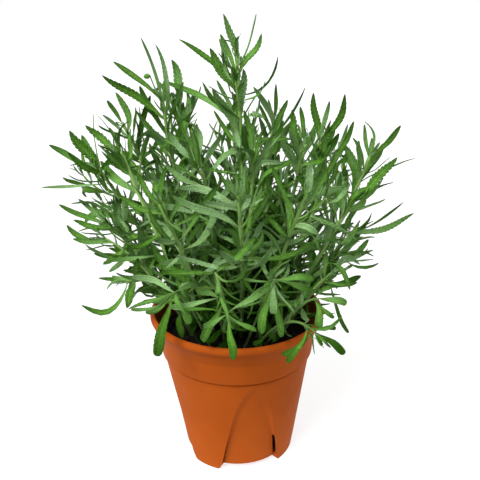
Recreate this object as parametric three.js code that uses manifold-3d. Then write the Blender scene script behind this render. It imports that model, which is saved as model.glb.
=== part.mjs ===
// A lavender in a moulded plastic pot, in millimetres, +Z up. It stands on z = 0, the pot's axis is x = y = 0,
// and the front of the plant faces -Y. An azimuth is an angle round the pot, from -Y towards +X.
import * as THREE from "three";
import { mergeVertices } from "three/addons/utils/BufferGeometryUtils.js";
import Module from "manifold-3d";

const wasm = await Module();
wasm.setup();

const { Vector2, Vector3 } = THREE;
const RAD = Math.PI / 180;
const Z_AXIS = new Vector3(0, 0, 1);

// Pot: radii and heights of its profile
const POT_SIDES = 36;
const POT_WALL = 1.6;
const FOOT_RADIUS = 44;
const BODY_TOP = { radius: 55.4, height: 82.7 };
const BAND_BOTTOM = { radius: 57.2, height: 84.3 };
const BAND_TOP = { radius: 58.8, height: 100 };
const FLARE_TOP = { radius: 62.6, height: 110.5 };
const BEAD = { radius: 65, height: 113.3 };
const BEAD_EDGE = 64.3;
const RIM_TOP = { radius: 62.9, height: 116.3 };
const FLOOR_UNDERSIDE = 4.2;
const FLOOR_TOP = 6;
const FOOT_WIDTH = 4.8;

// Pot: four arch panels, pressed in between the feet
const PANEL_AZIMUTHS = [12.5, 102.5, 192.5, 282.5];
const ARCH_HEIGHT = 79;
const ARCH_HALF_WIDTH = 22.5;
const ARCH_ROUNDNESS = 0.43;
const PANEL_DEPTH = 3.4;
const PANEL_DEPTH_FADE = 0.8;
const PANEL_COLUMNS = 3;
const PANEL_FLATNESS = 1;
const SLOT_TOP = 28;
const SLOT_SKIN = 1;

// Soil: its level under the rim, the height of its lumps, and its clearance to the pot and the stems
const SOIL_LEVEL = 97;
const SOIL_LUMP = 1.6;
const CLEARANCE = 0.3;
const STEM_DEPTH_IN_SOIL = 13;

// Plant: the stems and the blades of the leaves
const STEM_FOOT_RADIUS = 1.5;
const STEM_TIP_RADIUS = 0.85;
const STEM_STRAY = 0.5;
const FEWEST_STEPS = 3;
const MOST_STEPS = 9;
const BLADE_KEEL = 1.15;
const BLADE_CLEARANCE = 0.2;
const SHORTENED = 0.72;

// Blade outlines: place along the blade, and half width as a share of the widest
const PLAIN = [[0, 0.12], [0.44, 0.9], [0.78, 0.84]];
const TOOTHED = [[0, 0.1], [0.4, 0.82], [0.56, 1], [0.65, 0.74], [0.78, 0.9]];
const BLUNT = [[0, 0.1], [0.42, 0.66], [0.68, 1], [0.86, 0.96], [0.94, 0.7]];
const OUTER_SHARE = 0.3;
const ROOT_SINK = 1.2;

// The point from which the plant is measured: a place "as seen" is [x, z, depth], where x and z are read on the
// upright plane through the pot's axis, and the point itself lies on that line of sight at y = depth.
const EYE = new Vector3(0, -400, 318);

// The stems that face the front. Each has its seat in the soil [x, y], a middle point and a top as seen, the
// number of leaf pairs that follow the plant's habit, their size, and the leaves that are placed one by one:
// [place on the stem, tip x, tip z, tip depth, width, sideways bow (left of its heading positive), turn],
// where a turn of 0 shows the blade's full width and 90 its edge.
const STEMS = [
  {
    name: "top_centre", seat: [1, 3], via: [4, 215, 2], top: [1, 298, 6], pairs: 3, size: 40,
    leaves: [
      [0.93, -7, 322, 2, 5.2, -1.5, 15],
      [0.94, 14, 322, 14, 3.3, -1.5, 70],
      [0.9, -9, 310, 14, 3.7, 0, 30],
      [0.83, -16, 301.5, -4, 6.6, 1, 10],
      [0.82, 28, 296, 8, 3.3, -7, 65],
      [0.75, 5.5, 288.5, -8, 5.9, -1, 5],
      [0.8, -36, 307, 12, 4.5, -6, 25],
      [0.66, -15, 276, -10, 6.6, 0, 10],
      [0.7, -12, 281.5, 10, 3.3, 0, 40],
      [0.7, -47, 281, 18, 4.1, -3, 30],
    ],
  },
  {
    name: "top_left", seat: [-12, 3], via: [-36, 190, 4], top: [-48, 268, 2], pairs: 3, size: 38,
    leaves: [
      [0.95, -60, 308, 0, 4.1, -2, 50],
      [0.93, -51, 304, 8, 4.6, -4.5, 35],
      [1, -79, 293.5, 4, 4.3, -2, 35],
      [0.93, -87, 285, -4, 5.4, 0, 8],
      [0.78, -28, 262, -6, 4.5, 1, 25],
      [0.74, -66, 262, 8, 4.5, 1, 20],
    ],
  },
  {
    name: "upper_left", seat: [-4, 11], via: [-24, 195, 16], top: [-37, 266, 18], pairs: 2, size: 38,
    leaves: [
      [1, -41, 294.5, 14, 6.1, -2.5, 5],
      [0.9, -25, 275, 20, 4.5, 1, 20],
      [0.86, -52, 282, 26, 4.1, -2, 30],
    ],
  },
  {
    name: "upper_right", seat: [9, 9], via: [19, 185, 12], top: [25.5, 252, 12], pairs: 2, size: 34,
    leaves: [
      [1, 22, 269, 14, 2.8, 0, 30],
      [1, 27, 279, 6, 3.3, -0.6, 30],
      [0.93, 16, 266, 14, 2.8, -1, 30],
      [0.92, 35, 268.5, 4, 3.6, 0.5, 15],
      [0.88, 12, 277, -4, 4.1, -6, 25],
    ],
  },
  {
    name: "upper_right_inner", seat: [16, -3], via: [34, 175, -6], top: [48, 238, -4], pairs: 2, size: 36,
    leaves: [
      [0.95, 38, 262, -6, 5.6, 1, 5],
      [1, 43.5, 264, 4, 3.7, 0, 30],
      [0.82, 31, 248, -14, 6.6, 0, 5],
    ],
  },
  {
    name: "right_top", seat: [19, 5], via: [40, 180, 6], top: [58, 240, 6], pairs: 2, size: 36,
    leaves: [
      [1, 52, 273, 4, 5.2, 0.6, 8],
      [1, 63, 267.5, 10, 3.9, 0, 35],
      [1, 73, 272, 0, 4.9, -3.5, 12],
      [0.94, 64.5, 255, 8, 2.8, 0, 30],
    ],
  },
  {
    name: "right_top_front", seat: [23.5, -3], via: [47, 165, -10], top: [66, 226, -12], pairs: 2, size: 36,
    leaves: [
      [1, 80, 254, -14, 3.9, -1, 18],
      [1, 76, 252, -4, 3.6, -1, 40],
      [0.9, 62, 246, -20, 4.1, 1, 20],
    ],
  },
  {
    name: "right_upper", seat: [27, 6], via: [66, 165, 6], top: [92, 229, 2], pairs: 2, size: 36,
    leaves: [
      [1, 87, 252, 2, 3.3, 0, 25],
      [1, 93, 243, 8, 2.8, 0, 30],
      [1, 112, 251, 0, 4.1, -1, 28],
      [0.92, 79.5, 243, 6, 3.3, -3, 45],
      [0.86, 124, 228, 8, 3, 2.5, 70],
      [0.84, 70, 240, -8, 5.2, -6, 15],
    ],
  },
  {
    name: "right_broad", seat: [31, -7], via: [60, 155, -18], top: [84, 198, -18], pairs: 2, size: 36,
    leaves: [
      [1, 111.5, 229, -16, 6.9, -1, 5],
      [0.9, 91, 203, -30, 4.9, -3, 25],
      [0.86, 73, 219, -24, 4.5, 2, 25],
    ],
  },
  {
    name: "right_middle", seat: [34, 1], via: [60, 140, 2], top: [80, 174, 0], pairs: 1, size: 34,
    leaves: [
      [1, 127, 188.5, 6, 4.9, -3, 12],
      [1, 119, 197, 10, 3, -3, 65],
      [1, 98.5, 183, 6, 2.8, 0, 65],
      [0.92, 92, 171, -6, 2.8, 0, 65],
      [0.9, 90, 200, 14, 4.1, 2, 30],
    ],
  },
  {
    name: "right_lower", seat: [31, -15], via: [58, 128, -16], top: [81, 153, -16], pairs: 1, size: 30,
    leaves: [
      [1, 101, 153, -10, 3.1, 0, 60],
      [1, 105, 150.5, -18, 3.4, -4, 50],
      [0.92, 96, 169, -12, 4.1, -1, 25],
      [0.84, 91, 149, -26, 5.4, 6, 20],
    ],
  },
  {
    name: "right_low", seat: [26, -22], via: [51, 121, -32], top: [70, 142, -37], pairs: 1, size: 30,
    leaves: [
      [1, 86, 92, -46, 3.4, -3, 30],
      [0.9, 90, 135, -39, 4.1, -3, 25],
      [0.9, 66, 160, -44, 4.1, 1, 25],
    ],
  },
  {
    name: "right_front_low", seat: [20, -28], via: [44, 112, -48], top: [61, 121, -53], pairs: 1, size: 28,
    leaves: [
      [1, 83, 117, -53, 5.7, 1.5, 8],
      [0.95, 63, 96, -62, 6.2, 1.5, 8],
      [1, 74, 105, -57, 4.1, -1, 20],
      [0.9, 72, 133, -51, 4.1, 1, 30],
    ],
  },
  {
    name: "right_rim", seat: [12, -33], via: [36, 101, -57], top: [60, 93, -76], pairs: 0, size: 24,
    leaves: [
      [1, 84, 73.5, -78, 5.9, 0.5, 8],
      [1, 35, 73, -83, 5.2, 2, 5],
      [0.9, 39, 66, -90, 5.2, 1.5, 8],
      [1, 66, 81, -80, 3, 0, 20],
      [1, 76, 96, -76, 4.1, 1, 25],
    ],
  },
  {
    name: "front_centre", seat: [-8, -31], via: [-16, 142, -53], top: [-7, 108, -67], pairs: 0, size: 28,
    leaves: [
      [1, -3.5, 69, -96, 6.6, 1, 4],
      [1, -26, 99, -74, 4.6, 1, 18],
      [0.92, -27, 86, -67, 6.7, 1, 8],
      [0.92, -30, 130, -74, 5.4, 0, 12],
      [0.9, -50, 116, -67, 4.6, 2, 15],
      [1, -43, 112, -79, 3.3, -2.5, 45],
      [1, 25, 132, -77, 6.1, 1, 8],
      [1, 15, 95, -82, 4.1, -1, 25],
    ],
  },
  {
    name: "front_right", seat: [5, -31], via: [22, 124, -48], top: [28, 137, -65], pairs: 0, size: 28,
    leaves: [
      [1, 27, 109, -74, 5.4, 0.5, 8],
      [1, 57, 138, -67, 5.4, 1, 12],
      [1, 38, 151, -60, 2.8, -4, 50],
      [0.84, 19, 92, -77, 6.6, -1, 5],
      [0.8, 34, 89, -65, 5.4, 1, 12],
      [0.86, 56, 129, -60, 4.9, 1, 15],
      [0.9, 5, 138, -70, 3.3, 1, 40],
    ],
  },
  {
    name: "front_tall", seat: [3, -13], via: [4, 150, -44], top: [1.5, 203, -55], pairs: 0, size: 34,
    leaves: [
      [1, -6, 216, -57, 4.9, 1, 8],
      [1, 3, 232, -49, 3, 0, 60],
      [0.9, 7, 224, -44, 6.6, -0.5, 5],
      [0.92, -41, 208, -62, 5.7, -3, 8],
      [0.88, -24, 197, -73, 4.9, -2, 12],
      [0.76, -46, 203, -65, 5.7, -1, 10],
      [0.72, 24, 207, -62, 4.4, -2, 25],
      [0.56, 57, 166, -75, 4.4, -4, 30],
      [0.52, -13, 160, -81, 6.1, 0, 8],
      [0.5, -46, 158, -70, 4.6, 3, 25],
      [0.62, 20, 184, -81, 4.1, -1, 25],
    ],
  },
  {
    name: "right_front", seat: [15, -14], via: [34, 158, -36], top: [51, 203, -47], pairs: 1, size: 36,
    leaves: [
      [0.9, 76, 208, -47, 6.2, 2.5, 12],
      [1, 52, 226, -44, 5.4, 0, 15],
      [0.82, 68, 230, -52, 4.6, -2, 25],
      [0.7, 60, 172, -60, 5.4, 3, 12],
      [0.62, 20, 186, -57, 4.9, -1, 18],
      [0.56, 62, 186, -39, 4.1, -2, 30],
    ],
  },
  {
    name: "left_rim", seat: [-19, -28], via: [-38, 120, -46], top: [-51, 124, -53], pairs: 0, size: 28,
    leaves: [
      [0.93, -63, 73, -71, 6.6, 0.5, 5],
      [1, -80, 114, -53, 3.4, 4, 40],
      [1, -69, 112, -46, 3.8, 4, 30],
      [0.85, -36, 101, -69, 6.1, 0, 10],
      [0.9, -30, 137, -64, 4.1, 0, 20],
    ],
  },
  {
    name: "left_low", seat: [-28, -21], via: [-58, 130, -26], top: [-82, 136, -29], pairs: 1, size: 30,
    leaves: [
      [1, -117, 118, -31, 4.3, 12, 12],
      [0.88, -83, 115, -37, 6.6, 0, 5],
      [0.94, -92, 142, -22, 3.6, 1, 30],
      [0.86, -72, 156, -37, 4.1, 1, 25],
    ],
  },
  {
    name: "left_middle_low", seat: [-33, -11], via: [-64, 142, -10], top: [-94, 171, -12], pairs: 1, size: 32,
    leaves: [
      [1, -121, 182, -10, 4.3, 6, 15],
      [0.93, -118, 171, -18, 4.8, 0, 12],
      [0.82, -98, 151, -20, 4.9, 1, 18],
      [0.76, -94, 145, -10, 4.1, 1, 30],
    ],
  },
  {
    name: "left_middle", seat: [-34, -1], via: [-66, 150, 4], top: [-90, 181, 4], pairs: 2, size: 34,
    leaves: [
      [1, -125, 197, 0, 4.3, 1, 25],
      [1, -111, 201, 8, 3.8, 0, 35],
      [0.94, -116, 185.5, 0, 4.6, 1, 18],
      [1, -102.5, 198, 12, 3, 0, 30],
      [0.84, -86, 204, -10, 6.6, 0, 5],
    ],
  },
  {
    name: "left_upper", seat: [-28, 8], via: [-67, 175, 10], top: [-94, 222, 6], pairs: 2, size: 36,
    leaves: [
      [1, -112, 249, 4, 6.9, 0.5, 0],
      [1, -104, 246, 12, 6.1, 0.5, 8],
      [1, -127, 239.5, 0, 4.3, 1, 25],
      [0.94, -115, 234, -8, 5.1, 1, 12],
      [0.88, -136, 209.5, -10, 3, 0.5, 55],
    ],
  },
  {
    name: "left_upper_front", seat: [-24, -6], via: [-56, 172, -14], top: [-78, 234, -14], pairs: 2, size: 36,
    leaves: [
      [1, -101, 252.5, -14, 5.7, 1, 8],
      [1, -85, 251, -8, 3, 0, 35],
      [0.86, -89, 236, -22, 4.6, 1, 18],
      [1, -92, 259, -6, 2.5, -2, 75],
    ],
  },
  {
    name: "left_top", seat: [-19, 14], via: [-48, 188, 20], top: [-76, 254, 20], pairs: 2, size: 36,
    leaves: [
      [1, -85, 269, 20, 3.3, 0, 28],
      [0.95, -79, 274, 26, 4.6, -3.5, 18],
      [0.88, -89, 259.5, 14, 3.3, -1, 50],
      [0.84, -56, 272, 20, 4.1, 1, 25],
    ],
  },
  {
    name: "left_front", seat: [-15, -17], via: [-36, 150, -44], top: [-54, 196, -55], pairs: 1, size: 34,
    leaves: [
      [1, -70, 222, -57, 4.9, 1, 15],
      [1, -48, 224, -49, 4.4, 1, 25],
      [0.92, -84, 205, -57, 4.6, 2, 18],
      [0.84, -32, 211, -65, 4.4, 0, 20],
      [0.7, -60, 170, -73, 4.6, 2, 20],
      [0.62, -22, 184, -70, 4.1, 0, 30],
    ],
  },
  {
    name: "centre_left", seat: [-7, -6], via: [-17, 180, -26], top: [-26, 236, -31], pairs: 2, size: 36,
    leaves: [
      [0.94, -27, 252, -31, 5.7, -1, 8],
      [0.9, -46, 248, -36, 4.6, 2, 20],
      [0.86, -9, 246, -39, 4.4, 0, 25],
      [0.72, -52, 226, -39, 4.6, 1, 20],
    ],
  },
  {
    name: "centre_right", seat: [8, -5], via: [10, 178, -20], top: [13, 236, -25], pairs: 2, size: 36,
    leaves: [
      [1, 46.5, 276.5, -11, 3.8, -4.5, 55],
      [0.95, 6, 262, -31, 4.9, 0, 15],
      [0.88, 33, 226, -39, 4.6, 1, 20],
      [0.84, 26, 246, -36, 4.1, 0, 25],
    ],
  },
];

// The stems of the far side, in two arcs: azimuths, and for each arc the seat's radius and the top's
const FAR_ARCS = [
  {
    name: "far_low", azimuths: [114, 135, 158, 181, 204, 224, 246],
    seat: 29, reach: 78, top: 168, pairs: 3, size: 38,
  },
  { name: "far_high", azimuths: [140, 180, 220], seat: 18, reach: 50, top: 232, pairs: 4, size: 40 },
];

// Habit of the paired leaves
const FIRST_PAIR = 0.3;
const LAST_PAIR = 0.92;
const PAIR_TURN = 90;
const LOW_LEAF_SPREAD = 66;
const SPREAD_LOSS = 26;
const SPREAD_DRAW = 16;
const AZIMUTH_DRAW = 34;
const TWIST_DRAW = 70;
const LEAF_ARCH = 0.09;
const LEAF_SLENDERNESS = 0.135;
const TOOTHED_SHARE = 0.27;

// Where a leaf would cross another stem's leaves or the pot, it takes the first of these places that is clear:
// a leaf placed by eye moves nearer or further, and one of a pair swings round its stem or away from it.
const DEPTH_MOVES = [0, 4, -4, 8, -8, 12, -12, 17, -17, 23, -23, 30, -30];
const SWINGS = [
  [0, 0], [14, 0], [-14, 0], [0, 12], [0, -12], [28, 0], [-28, 0], [14, 14], [-14, 14], [14, -14], [-14, -14],
  [42, 0], [-42, 0], [0, 26], [0, -26], [58, 8], [-58, 8], [75, 0], [-75, 0],
];

// A number from 0 to 1 that is always the same for the same stem, leaf and purpose
function draw(stem, leaf, purpose) {
  const value = Math.sin(12.9898 * (stem + 1) + 78.233 * (leaf + 1) + 37.719 * purpose) * 43758.5453;
  return value - Math.floor(value);
}

function solidOf(geometry) {
  geometry.deleteAttribute("normal");
  geometry.deleteAttribute("uv");
  const merged = mergeVertices(geometry, 1e-4);
  const vertProperties = merged.getAttribute("position").array;
  const triVerts = new Uint32Array(merged.index.array);
  return new wasm.Manifold(new wasm.Mesh({ numProp: 3, vertProperties, triVerts }));
}

function meshOf(name, solid, material) {
  const { vertProperties, triVerts } = solid.getMesh();
  const geometry = new THREE.BufferGeometry();
  geometry.setAttribute("position", new THREE.BufferAttribute(vertProperties, 3));
  geometry.setIndex(new THREE.BufferAttribute(triVerts, 1));
  geometry.computeVertexNormals();
  const mesh = new THREE.Mesh(geometry, material);
  mesh.name = name;
  return mesh;
}

// A closed solid through rings of points, each counter-clockwise seen from the far end. It closes to the point
// tip, or flat across the last ring.
function skinned(rings, tip) {
  const sides = rings[0].length;
  const points = rings.flat();
  const last = (rings.length - 1) * sides;
  const triangles = [];
  for (let ring = 0; ring < rings.length - 1; ring++) {
    for (let side = 0; side < sides; side++) {
      const a = ring * sides + side;
      const b = ring * sides + ((side + 1) % sides);
      triangles.push(a, b, b + sides, a, b + sides, a + sides);
    }
  }
  for (let side = 1; side < sides - 1; side++) triangles.push(0, side + 1, side);
  if (tip) {
    points.push(tip);
    for (let side = 0; side < sides; side++) {
      triangles.push(last + side, last + ((side + 1) % sides), points.length - 1);
    }
  } else {
    for (let side = 1; side < sides - 1; side++) triangles.push(last, last + side, last + side + 1);
  }
  const geometry = new THREE.BufferGeometry().setFromPoints(points);
  geometry.setIndex(triangles);
  return solidOf(geometry);
}

// A solid of revolution about the pot's axis, from its profile listed from the axis, up the outside and back
function turned(profile) {
  const points = profile.map(([radius, height]) => new Vector2(radius, height));
  const geometry = new THREE.LatheGeometry(points, POT_SIDES);
  geometry.rotateX(Math.PI / 2);
  return solidOf(geometry);
}

// A point at an azimuth in radians, a radius and a height
function polar(azimuth, radius, height) {
  return new Vector3(radius * Math.sin(azimuth), -radius * Math.cos(azimuth), height);
}

// A block between two azimuths and two radii, each a function of height, through the given heights
function sector(azimuth, heights, halfAngle, innerRadius, outerRadius) {
  const rings = heights.map((height) => {
    const ring = [];
    const half = halfAngle(height);
    for (let i = 0; i <= PANEL_COLUMNS; i++) {
      ring.push(polar(azimuth + half * ((2 * i) / PANEL_COLUMNS - 1), outerRadius(height), height));
    }
    for (let i = PANEL_COLUMNS; i >= 0; i--) {
      ring.push(polar(azimuth + half * ((2 * i) / PANEL_COLUMNS - 1), innerRadius(height), height));
    }
    return ring;
  });
  return skinned(rings);
}

// Pot

const onCone = (height) =>
  FOOT_RADIUS + ((BODY_TOP.radius - FOOT_RADIUS) * Math.max(height, 0)) / BODY_TOP.height;
const archFade = (height) => Math.max(1 - Math.max(height, 0) / ARCH_HEIGHT, 0);
const archHalfAngle = (height) => (ARCH_HALF_WIDTH * archFade(height) ** ARCH_ROUNDNESS) / onCone(height);
const panelRadius = (height) => onCone(height) - PANEL_DEPTH * archFade(height) ** PANEL_DEPTH_FADE;

// The bulge that a pressed-in panel makes on the inside, for what lies a margin outside its outer face
function bulge(azimuth, margin) {
  return sector(
    azimuth,
    [0, 24, 48, 66, ARCH_HEIGHT + margin],
    (height) => archHalfAngle(height) + margin / onCone(height),
    (height) => panelRadius(height) - margin,
    (height) => onCone(height) + 1,
  );
}

// What the pot can hold, open past its rim
function hollow() {
  const lip = RIM_TOP.radius - POT_WALL + 0.4;
  const inner = turned([
    [0, FLOOR_TOP],
    [onCone(FLOOR_TOP) - POT_WALL, FLOOR_TOP],
    [BODY_TOP.radius - POT_WALL, BODY_TOP.height - 1],
    [BAND_BOTTOM.radius - POT_WALL, BAND_BOTTOM.height + 0.6],
    [BAND_TOP.radius - POT_WALL, BAND_TOP.height],
    [FLARE_TOP.radius - POT_WALL, FLARE_TOP.height + 1],
    [lip, RIM_TOP.height],
    [lip, RIM_TOP.height + 2],
    [0, RIM_TOP.height + 2],
  ]);
  return PANEL_AZIMUTHS.reduce((rest, azimuth) => rest.subtract(bulge(azimuth * RAD, POT_WALL)), inner);
}

function drainSlot(azimuth, side) {
  const edge = (height) => azimuth + side * (archHalfAngle(height) + POT_WALL / 2 / onCone(height));
  const rings = [FLOOR_TOP, SLOT_TOP].map((height) => {
    const half = (POT_WALL / 2 + 0.8) / onCone(height);
    const inner = panelRadius(height) + 0.2;
    const outer = onCone(height) - SLOT_SKIN;
    return [
      polar(edge(height) - half, outer, height),
      polar(edge(height) + half, outer, height),
      polar(edge(height) + half, inner, height),
      polar(edge(height) - half, inner, height),
    ];
  });
  return skinned(rings);
}

function potSolid() {
  let pot = turned([
    [0, 0],
    [FOOT_RADIUS, 0],
    [BODY_TOP.radius, BODY_TOP.height],
    [BAND_BOTTOM.radius, BAND_BOTTOM.height],
    [BAND_TOP.radius, BAND_TOP.height],
    [FLARE_TOP.radius, FLARE_TOP.height],
    [BEAD_EDGE, FLARE_TOP.height + 0.5],
    [BEAD.radius, BEAD.height],
    [BEAD_EDGE, RIM_TOP.height - 0.8],
    [RIM_TOP.radius, RIM_TOP.height],
    [0, RIM_TOP.height],
  ]);
  pot = pot.subtract(hollow());
  const underside = FOOT_RADIUS - FOOT_WIDTH;
  pot = pot.subtract(turned([[0, -1], [underside, -1], [underside, FLOOR_UNDERSIDE], [0, FLOOR_UNDERSIDE]]));
  for (const degrees of PANEL_AZIMUTHS) {
    const azimuth = degrees * RAD;
    const heights = [-2, 14, 34, 52, 66, 74, ARCH_HEIGHT - 0.1];
    pot = pot.subtract(sector(azimuth, heights, archHalfAngle, panelRadius, (height) => onCone(height) + 3));
    const gap = sector(azimuth, [-1, FLOOR_UNDERSIDE], () => archHalfAngle(0), () => underside - 3, () => 50);
    pot = pot.subtract(gap);
    pot = pot.subtract(drainSlot(azimuth, -1)).subtract(drainSlot(azimuth, 1));
  }
  return pot;
}

// Soil

function soilTop(x, y) {
  const lumps = SOIL_LUMP * Math.sin(0.21 * x + 1.3) * Math.cos(0.17 * y + 0.4);
  return SOIL_LEVEL + lumps + 0.6 * Math.sin(0.5 * (x + y));
}

// How far the soil may reach at an azimuth and a height: to the pot's inner face, and before a panel's bulge,
// as wide as the bulge is at the ring below
function soilReach(azimuth, height, below) {
  const margin = POT_WALL + CLEARANCE;
  const side = (2 * Math.PI) / POT_SIDES;
  const nearPanel = PANEL_AZIMUTHS.some((degrees) => {
    const turn = azimuth - degrees * RAD;
    const offset = Math.abs(Math.atan2(Math.sin(turn), Math.cos(turn)));
    return offset < archHalfAngle(below) + margin / onCone(below) + side;
  });
  return (nearPanel ? panelRadius(height) - PANEL_FLATNESS : onCone(height)) - margin;
}

function soilSolid(stems) {
  const margin = POT_WALL + CLEARANCE;
  const slope = (BAND_TOP.radius - BAND_BOTTOM.radius) / (BAND_TOP.height - BAND_BOTTOM.height);
  const edge = BAND_BOTTOM.radius - margin + slope * (SOIL_LEVEL - SOIL_LUMP - BAND_BOTTOM.height);
  const ringOf = (place) => Array.from({ length: POT_SIDES }, (_, i) => place((i * 2 * Math.PI) / POT_SIDES));
  const heights = [FLOOR_TOP + CLEARANCE, 40, 68, BODY_TOP.height - 1];
  const rings = heights.map((height, i) =>
    ringOf((azimuth) => polar(azimuth, soilReach(azimuth, height, heights[Math.max(i - 1, 0)]), height)));
  rings.push(ringOf((azimuth) => polar(azimuth, BAND_BOTTOM.radius - margin, BAND_BOTTOM.height + 0.6)));
  for (const share of [1, 0.6]) {
    rings.push(ringOf((azimuth) => {
      const point = polar(azimuth, share * edge, 0);
      return point.setZ(soilTop(point.x, point.y));
    }));
  }
  const filling = skinned(rings, new Vector3(0, 0, soilTop(0, 0)));
  return stems.reduce((rest, { line }) => rest.subtract(line.hole()), filling);
}

// Plant

// The point on the line of sight through an as-seen place
function asSeen([x, z, depth]) {
  return new Vector3(x, 0, z).sub(EYE).multiplyScalar(1 + depth / -EYE.y).add(EYE);
}

// A stem's line: a curve from its seat through its middle point to its top, and its foot straight on in the
// soil. Its solid takes as many steps as keep it within the stray of the curve.
class StemLine {
  constructor(seat, via, top) {
    const start = new Vector3(seat[0], seat[1], SOIL_LEVEL);
    const control = via.clone().multiplyScalar(2).addScaledVector(start, -0.5).addScaledVector(top, -0.5);
    this.curve = new THREE.QuadraticBezierCurve3(start, control, top);
    const bend = start.clone().add(top).multiplyScalar(0.5).distanceTo(via);
    this.steps = THREE.MathUtils.clamp(Math.ceil(Math.sqrt(bend / STEM_STRAY)), FEWEST_STEPS, MOST_STEPS);
    const lean = top.clone().sub(start).setZ(0).normalize();
    this.across = new Vector3().crossVectors(Z_AXIS, lean);
  }

  frameAt(share) {
    const tangent = this.curve.getTangent(share);
    const side = this.across.clone().addScaledVector(tangent, -this.across.dot(tangent)).normalize();
    const front = new Vector3().crossVectors(tangent, side);
    return { point: this.curve.getPoint(share), tangent, side, front };
  }

  // Where a leaf's root sits, sunk in the stem
  rootAt(share) {
    const { point, tangent } = this.frameAt(share);
    return point.addScaledVector(tangent, -ROOT_SINK);
  }

  ringAt(frame, point, radius) {
    return [[1, 0], [0, 1], [-1, 0], [0, -1]].map(([u, v]) =>
      point.clone().addScaledVector(frame.side, u * radius).addScaledVector(frame.front, v * radius));
  }

  // The stem's solid, square like the real one, with its foot in the soil
  solid() {
    const foot = this.frameAt(0);
    const buried = foot.point.clone().addScaledVector(foot.tangent, -STEM_DEPTH_IN_SOIL);
    const rings = [this.ringAt(foot, buried, STEM_FOOT_RADIUS)];
    for (let i = 0; i <= this.steps; i++) {
      const share = i / this.steps;
      const frame = this.frameAt(share);
      const radius = STEM_FOOT_RADIUS + (STEM_TIP_RADIUS - STEM_FOOT_RADIUS) * share;
      rings.push(this.ringAt(frame, frame.point, radius));
    }
    return skinned(rings);
  }

  // The hole that the foot stands in, from under the foot to above the soil
  hole() {
    const foot = this.frameAt(0);
    const reach = [-STEM_DEPTH_IN_SOIL - CLEARANCE, 3 * SOIL_LUMP];
    return skinned(reach.map((along) => {
      const middle = foot.point.clone().addScaledVector(foot.tangent, along);
      return this.ringAt(foot, middle, STEM_FOOT_RADIUS + 1.5 * CLEARANCE);
    }));
  }
}

// A leaf: the line of its midrib from root to tip, bent by its bow, with the direction across its blade
function leafLine(root, tip, bow, across, width, outline) {
  const control = root.clone().add(tip).multiplyScalar(0.5).addScaledVector(bow, 2);
  return { curve: new THREE.QuadraticBezierCurve3(root, control, tip), across, width, outline };
}

// A blade's solid, thicker by the margin, from the given share of its length
function blade({ curve, across, width, outline }, margin = 0, from = 0) {
  const rings = outline.filter(([share]) => share >= from).map(([share, wide]) => {
    const point = curve.getPoint(share);
    const tangent = curve.getTangent(share);
    const side = across.clone().addScaledVector(tangent, -across.dot(tangent)).normalize();
    const normal = new Vector3().crossVectors(tangent, side);
    const half = (wide * width) / 2 + 2 * margin;
    return [
      point.clone().addScaledVector(side, half).addScaledVector(normal, margin),
      point.clone().addScaledVector(side, -half).addScaledVector(normal, margin),
      point.clone().addScaledVector(normal, -BLADE_KEEL - 2 * margin),
    ];
  });
  const end = curve.getPoint(1).addScaledVector(curve.getTangent(1), 2 * margin);
  return skinned(rings, end);
}

// The choices for a leaf that is placed by eye, nearest its own place first
function placedLeaves(line, [share, x, z, depth, width, bow, turn]) {
  const root = line.rootAt(share);
  const outline = depth < -45 && z < 140 ? BLUNT : width > 4.4 ? TOOTHED : PLAIN;
  return DEPTH_MOVES.map((move) => {
    const tip = asSeen([x, z, depth + move]);
    const heading = tip.clone().sub(root).normalize();
    const sight = root.clone().add(tip).multiplyScalar(0.5).sub(EYE).normalize();
    const left = new Vector3().crossVectors(heading, sight).normalize();
    const away = new Vector3().crossVectors(heading, left);
    const across = left.clone().multiplyScalar(Math.cos(turn * RAD));
    across.addScaledVector(away, Math.sin(turn * RAD));
    return leafLine(root, tip, left.clone().multiplyScalar(bow), across, width, outline);
  });
}

// The choices for one leaf of a pair: swung places at full length, and then shortened
function pairedLeaves(line, stem, leaf, share, size) {
  const frame = line.frameAt(share);
  const root = line.rootAt(share);
  const length = size * (0.8 + 0.3 * draw(stem, leaf, 1)) * (1 - 0.25 * share * share);
  const azimuth = PAIR_TURN * Math.floor(leaf / 2) + 180 * (leaf % 2) + 45
    + AZIMUTH_DRAW * (draw(stem, leaf, 2) - 0.5);
  const spread = LOW_LEAF_SPREAD - SPREAD_LOSS * share + SPREAD_DRAW * (draw(stem, leaf, 3) - 0.5);
  const twist = TWIST_DRAW * (draw(stem, leaf, 4) - 0.5) * RAD;
  const arch = LEAF_ARCH * (0.4 + draw(stem, leaf, 5));
  const outline = draw(stem, leaf, 6) < TOOTHED_SHARE ? TOOTHED : PLAIN;
  const choices = [];
  for (const scale of [1, SHORTENED]) {
    for (const [round, away] of SWINGS) {
      const outward = frame.side.clone().multiplyScalar(Math.cos((azimuth + round) * RAD))
        .addScaledVector(frame.front, Math.sin((azimuth + round) * RAD));
      const angle = (spread + away) * RAD;
      const heading = frame.tangent.clone().multiplyScalar(Math.cos(angle));
      heading.addScaledVector(outward, Math.sin(angle));
      const level = new Vector3().crossVectors(frame.tangent, heading);
      const upper = new Vector3().crossVectors(heading, level).normalize();
      const reach = length * scale;
      const across = new Vector3().crossVectors(upper, heading).applyAxisAngle(heading, twist);
      const tip = root.clone().addScaledVector(heading, reach);
      const width = reach * LEAF_SLENDERNESS;
      choices.push(leafLine(root, tip, upper.clone().multiplyScalar(-arch * reach), across, width, outline));
    }
  }
  return choices;
}

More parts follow.
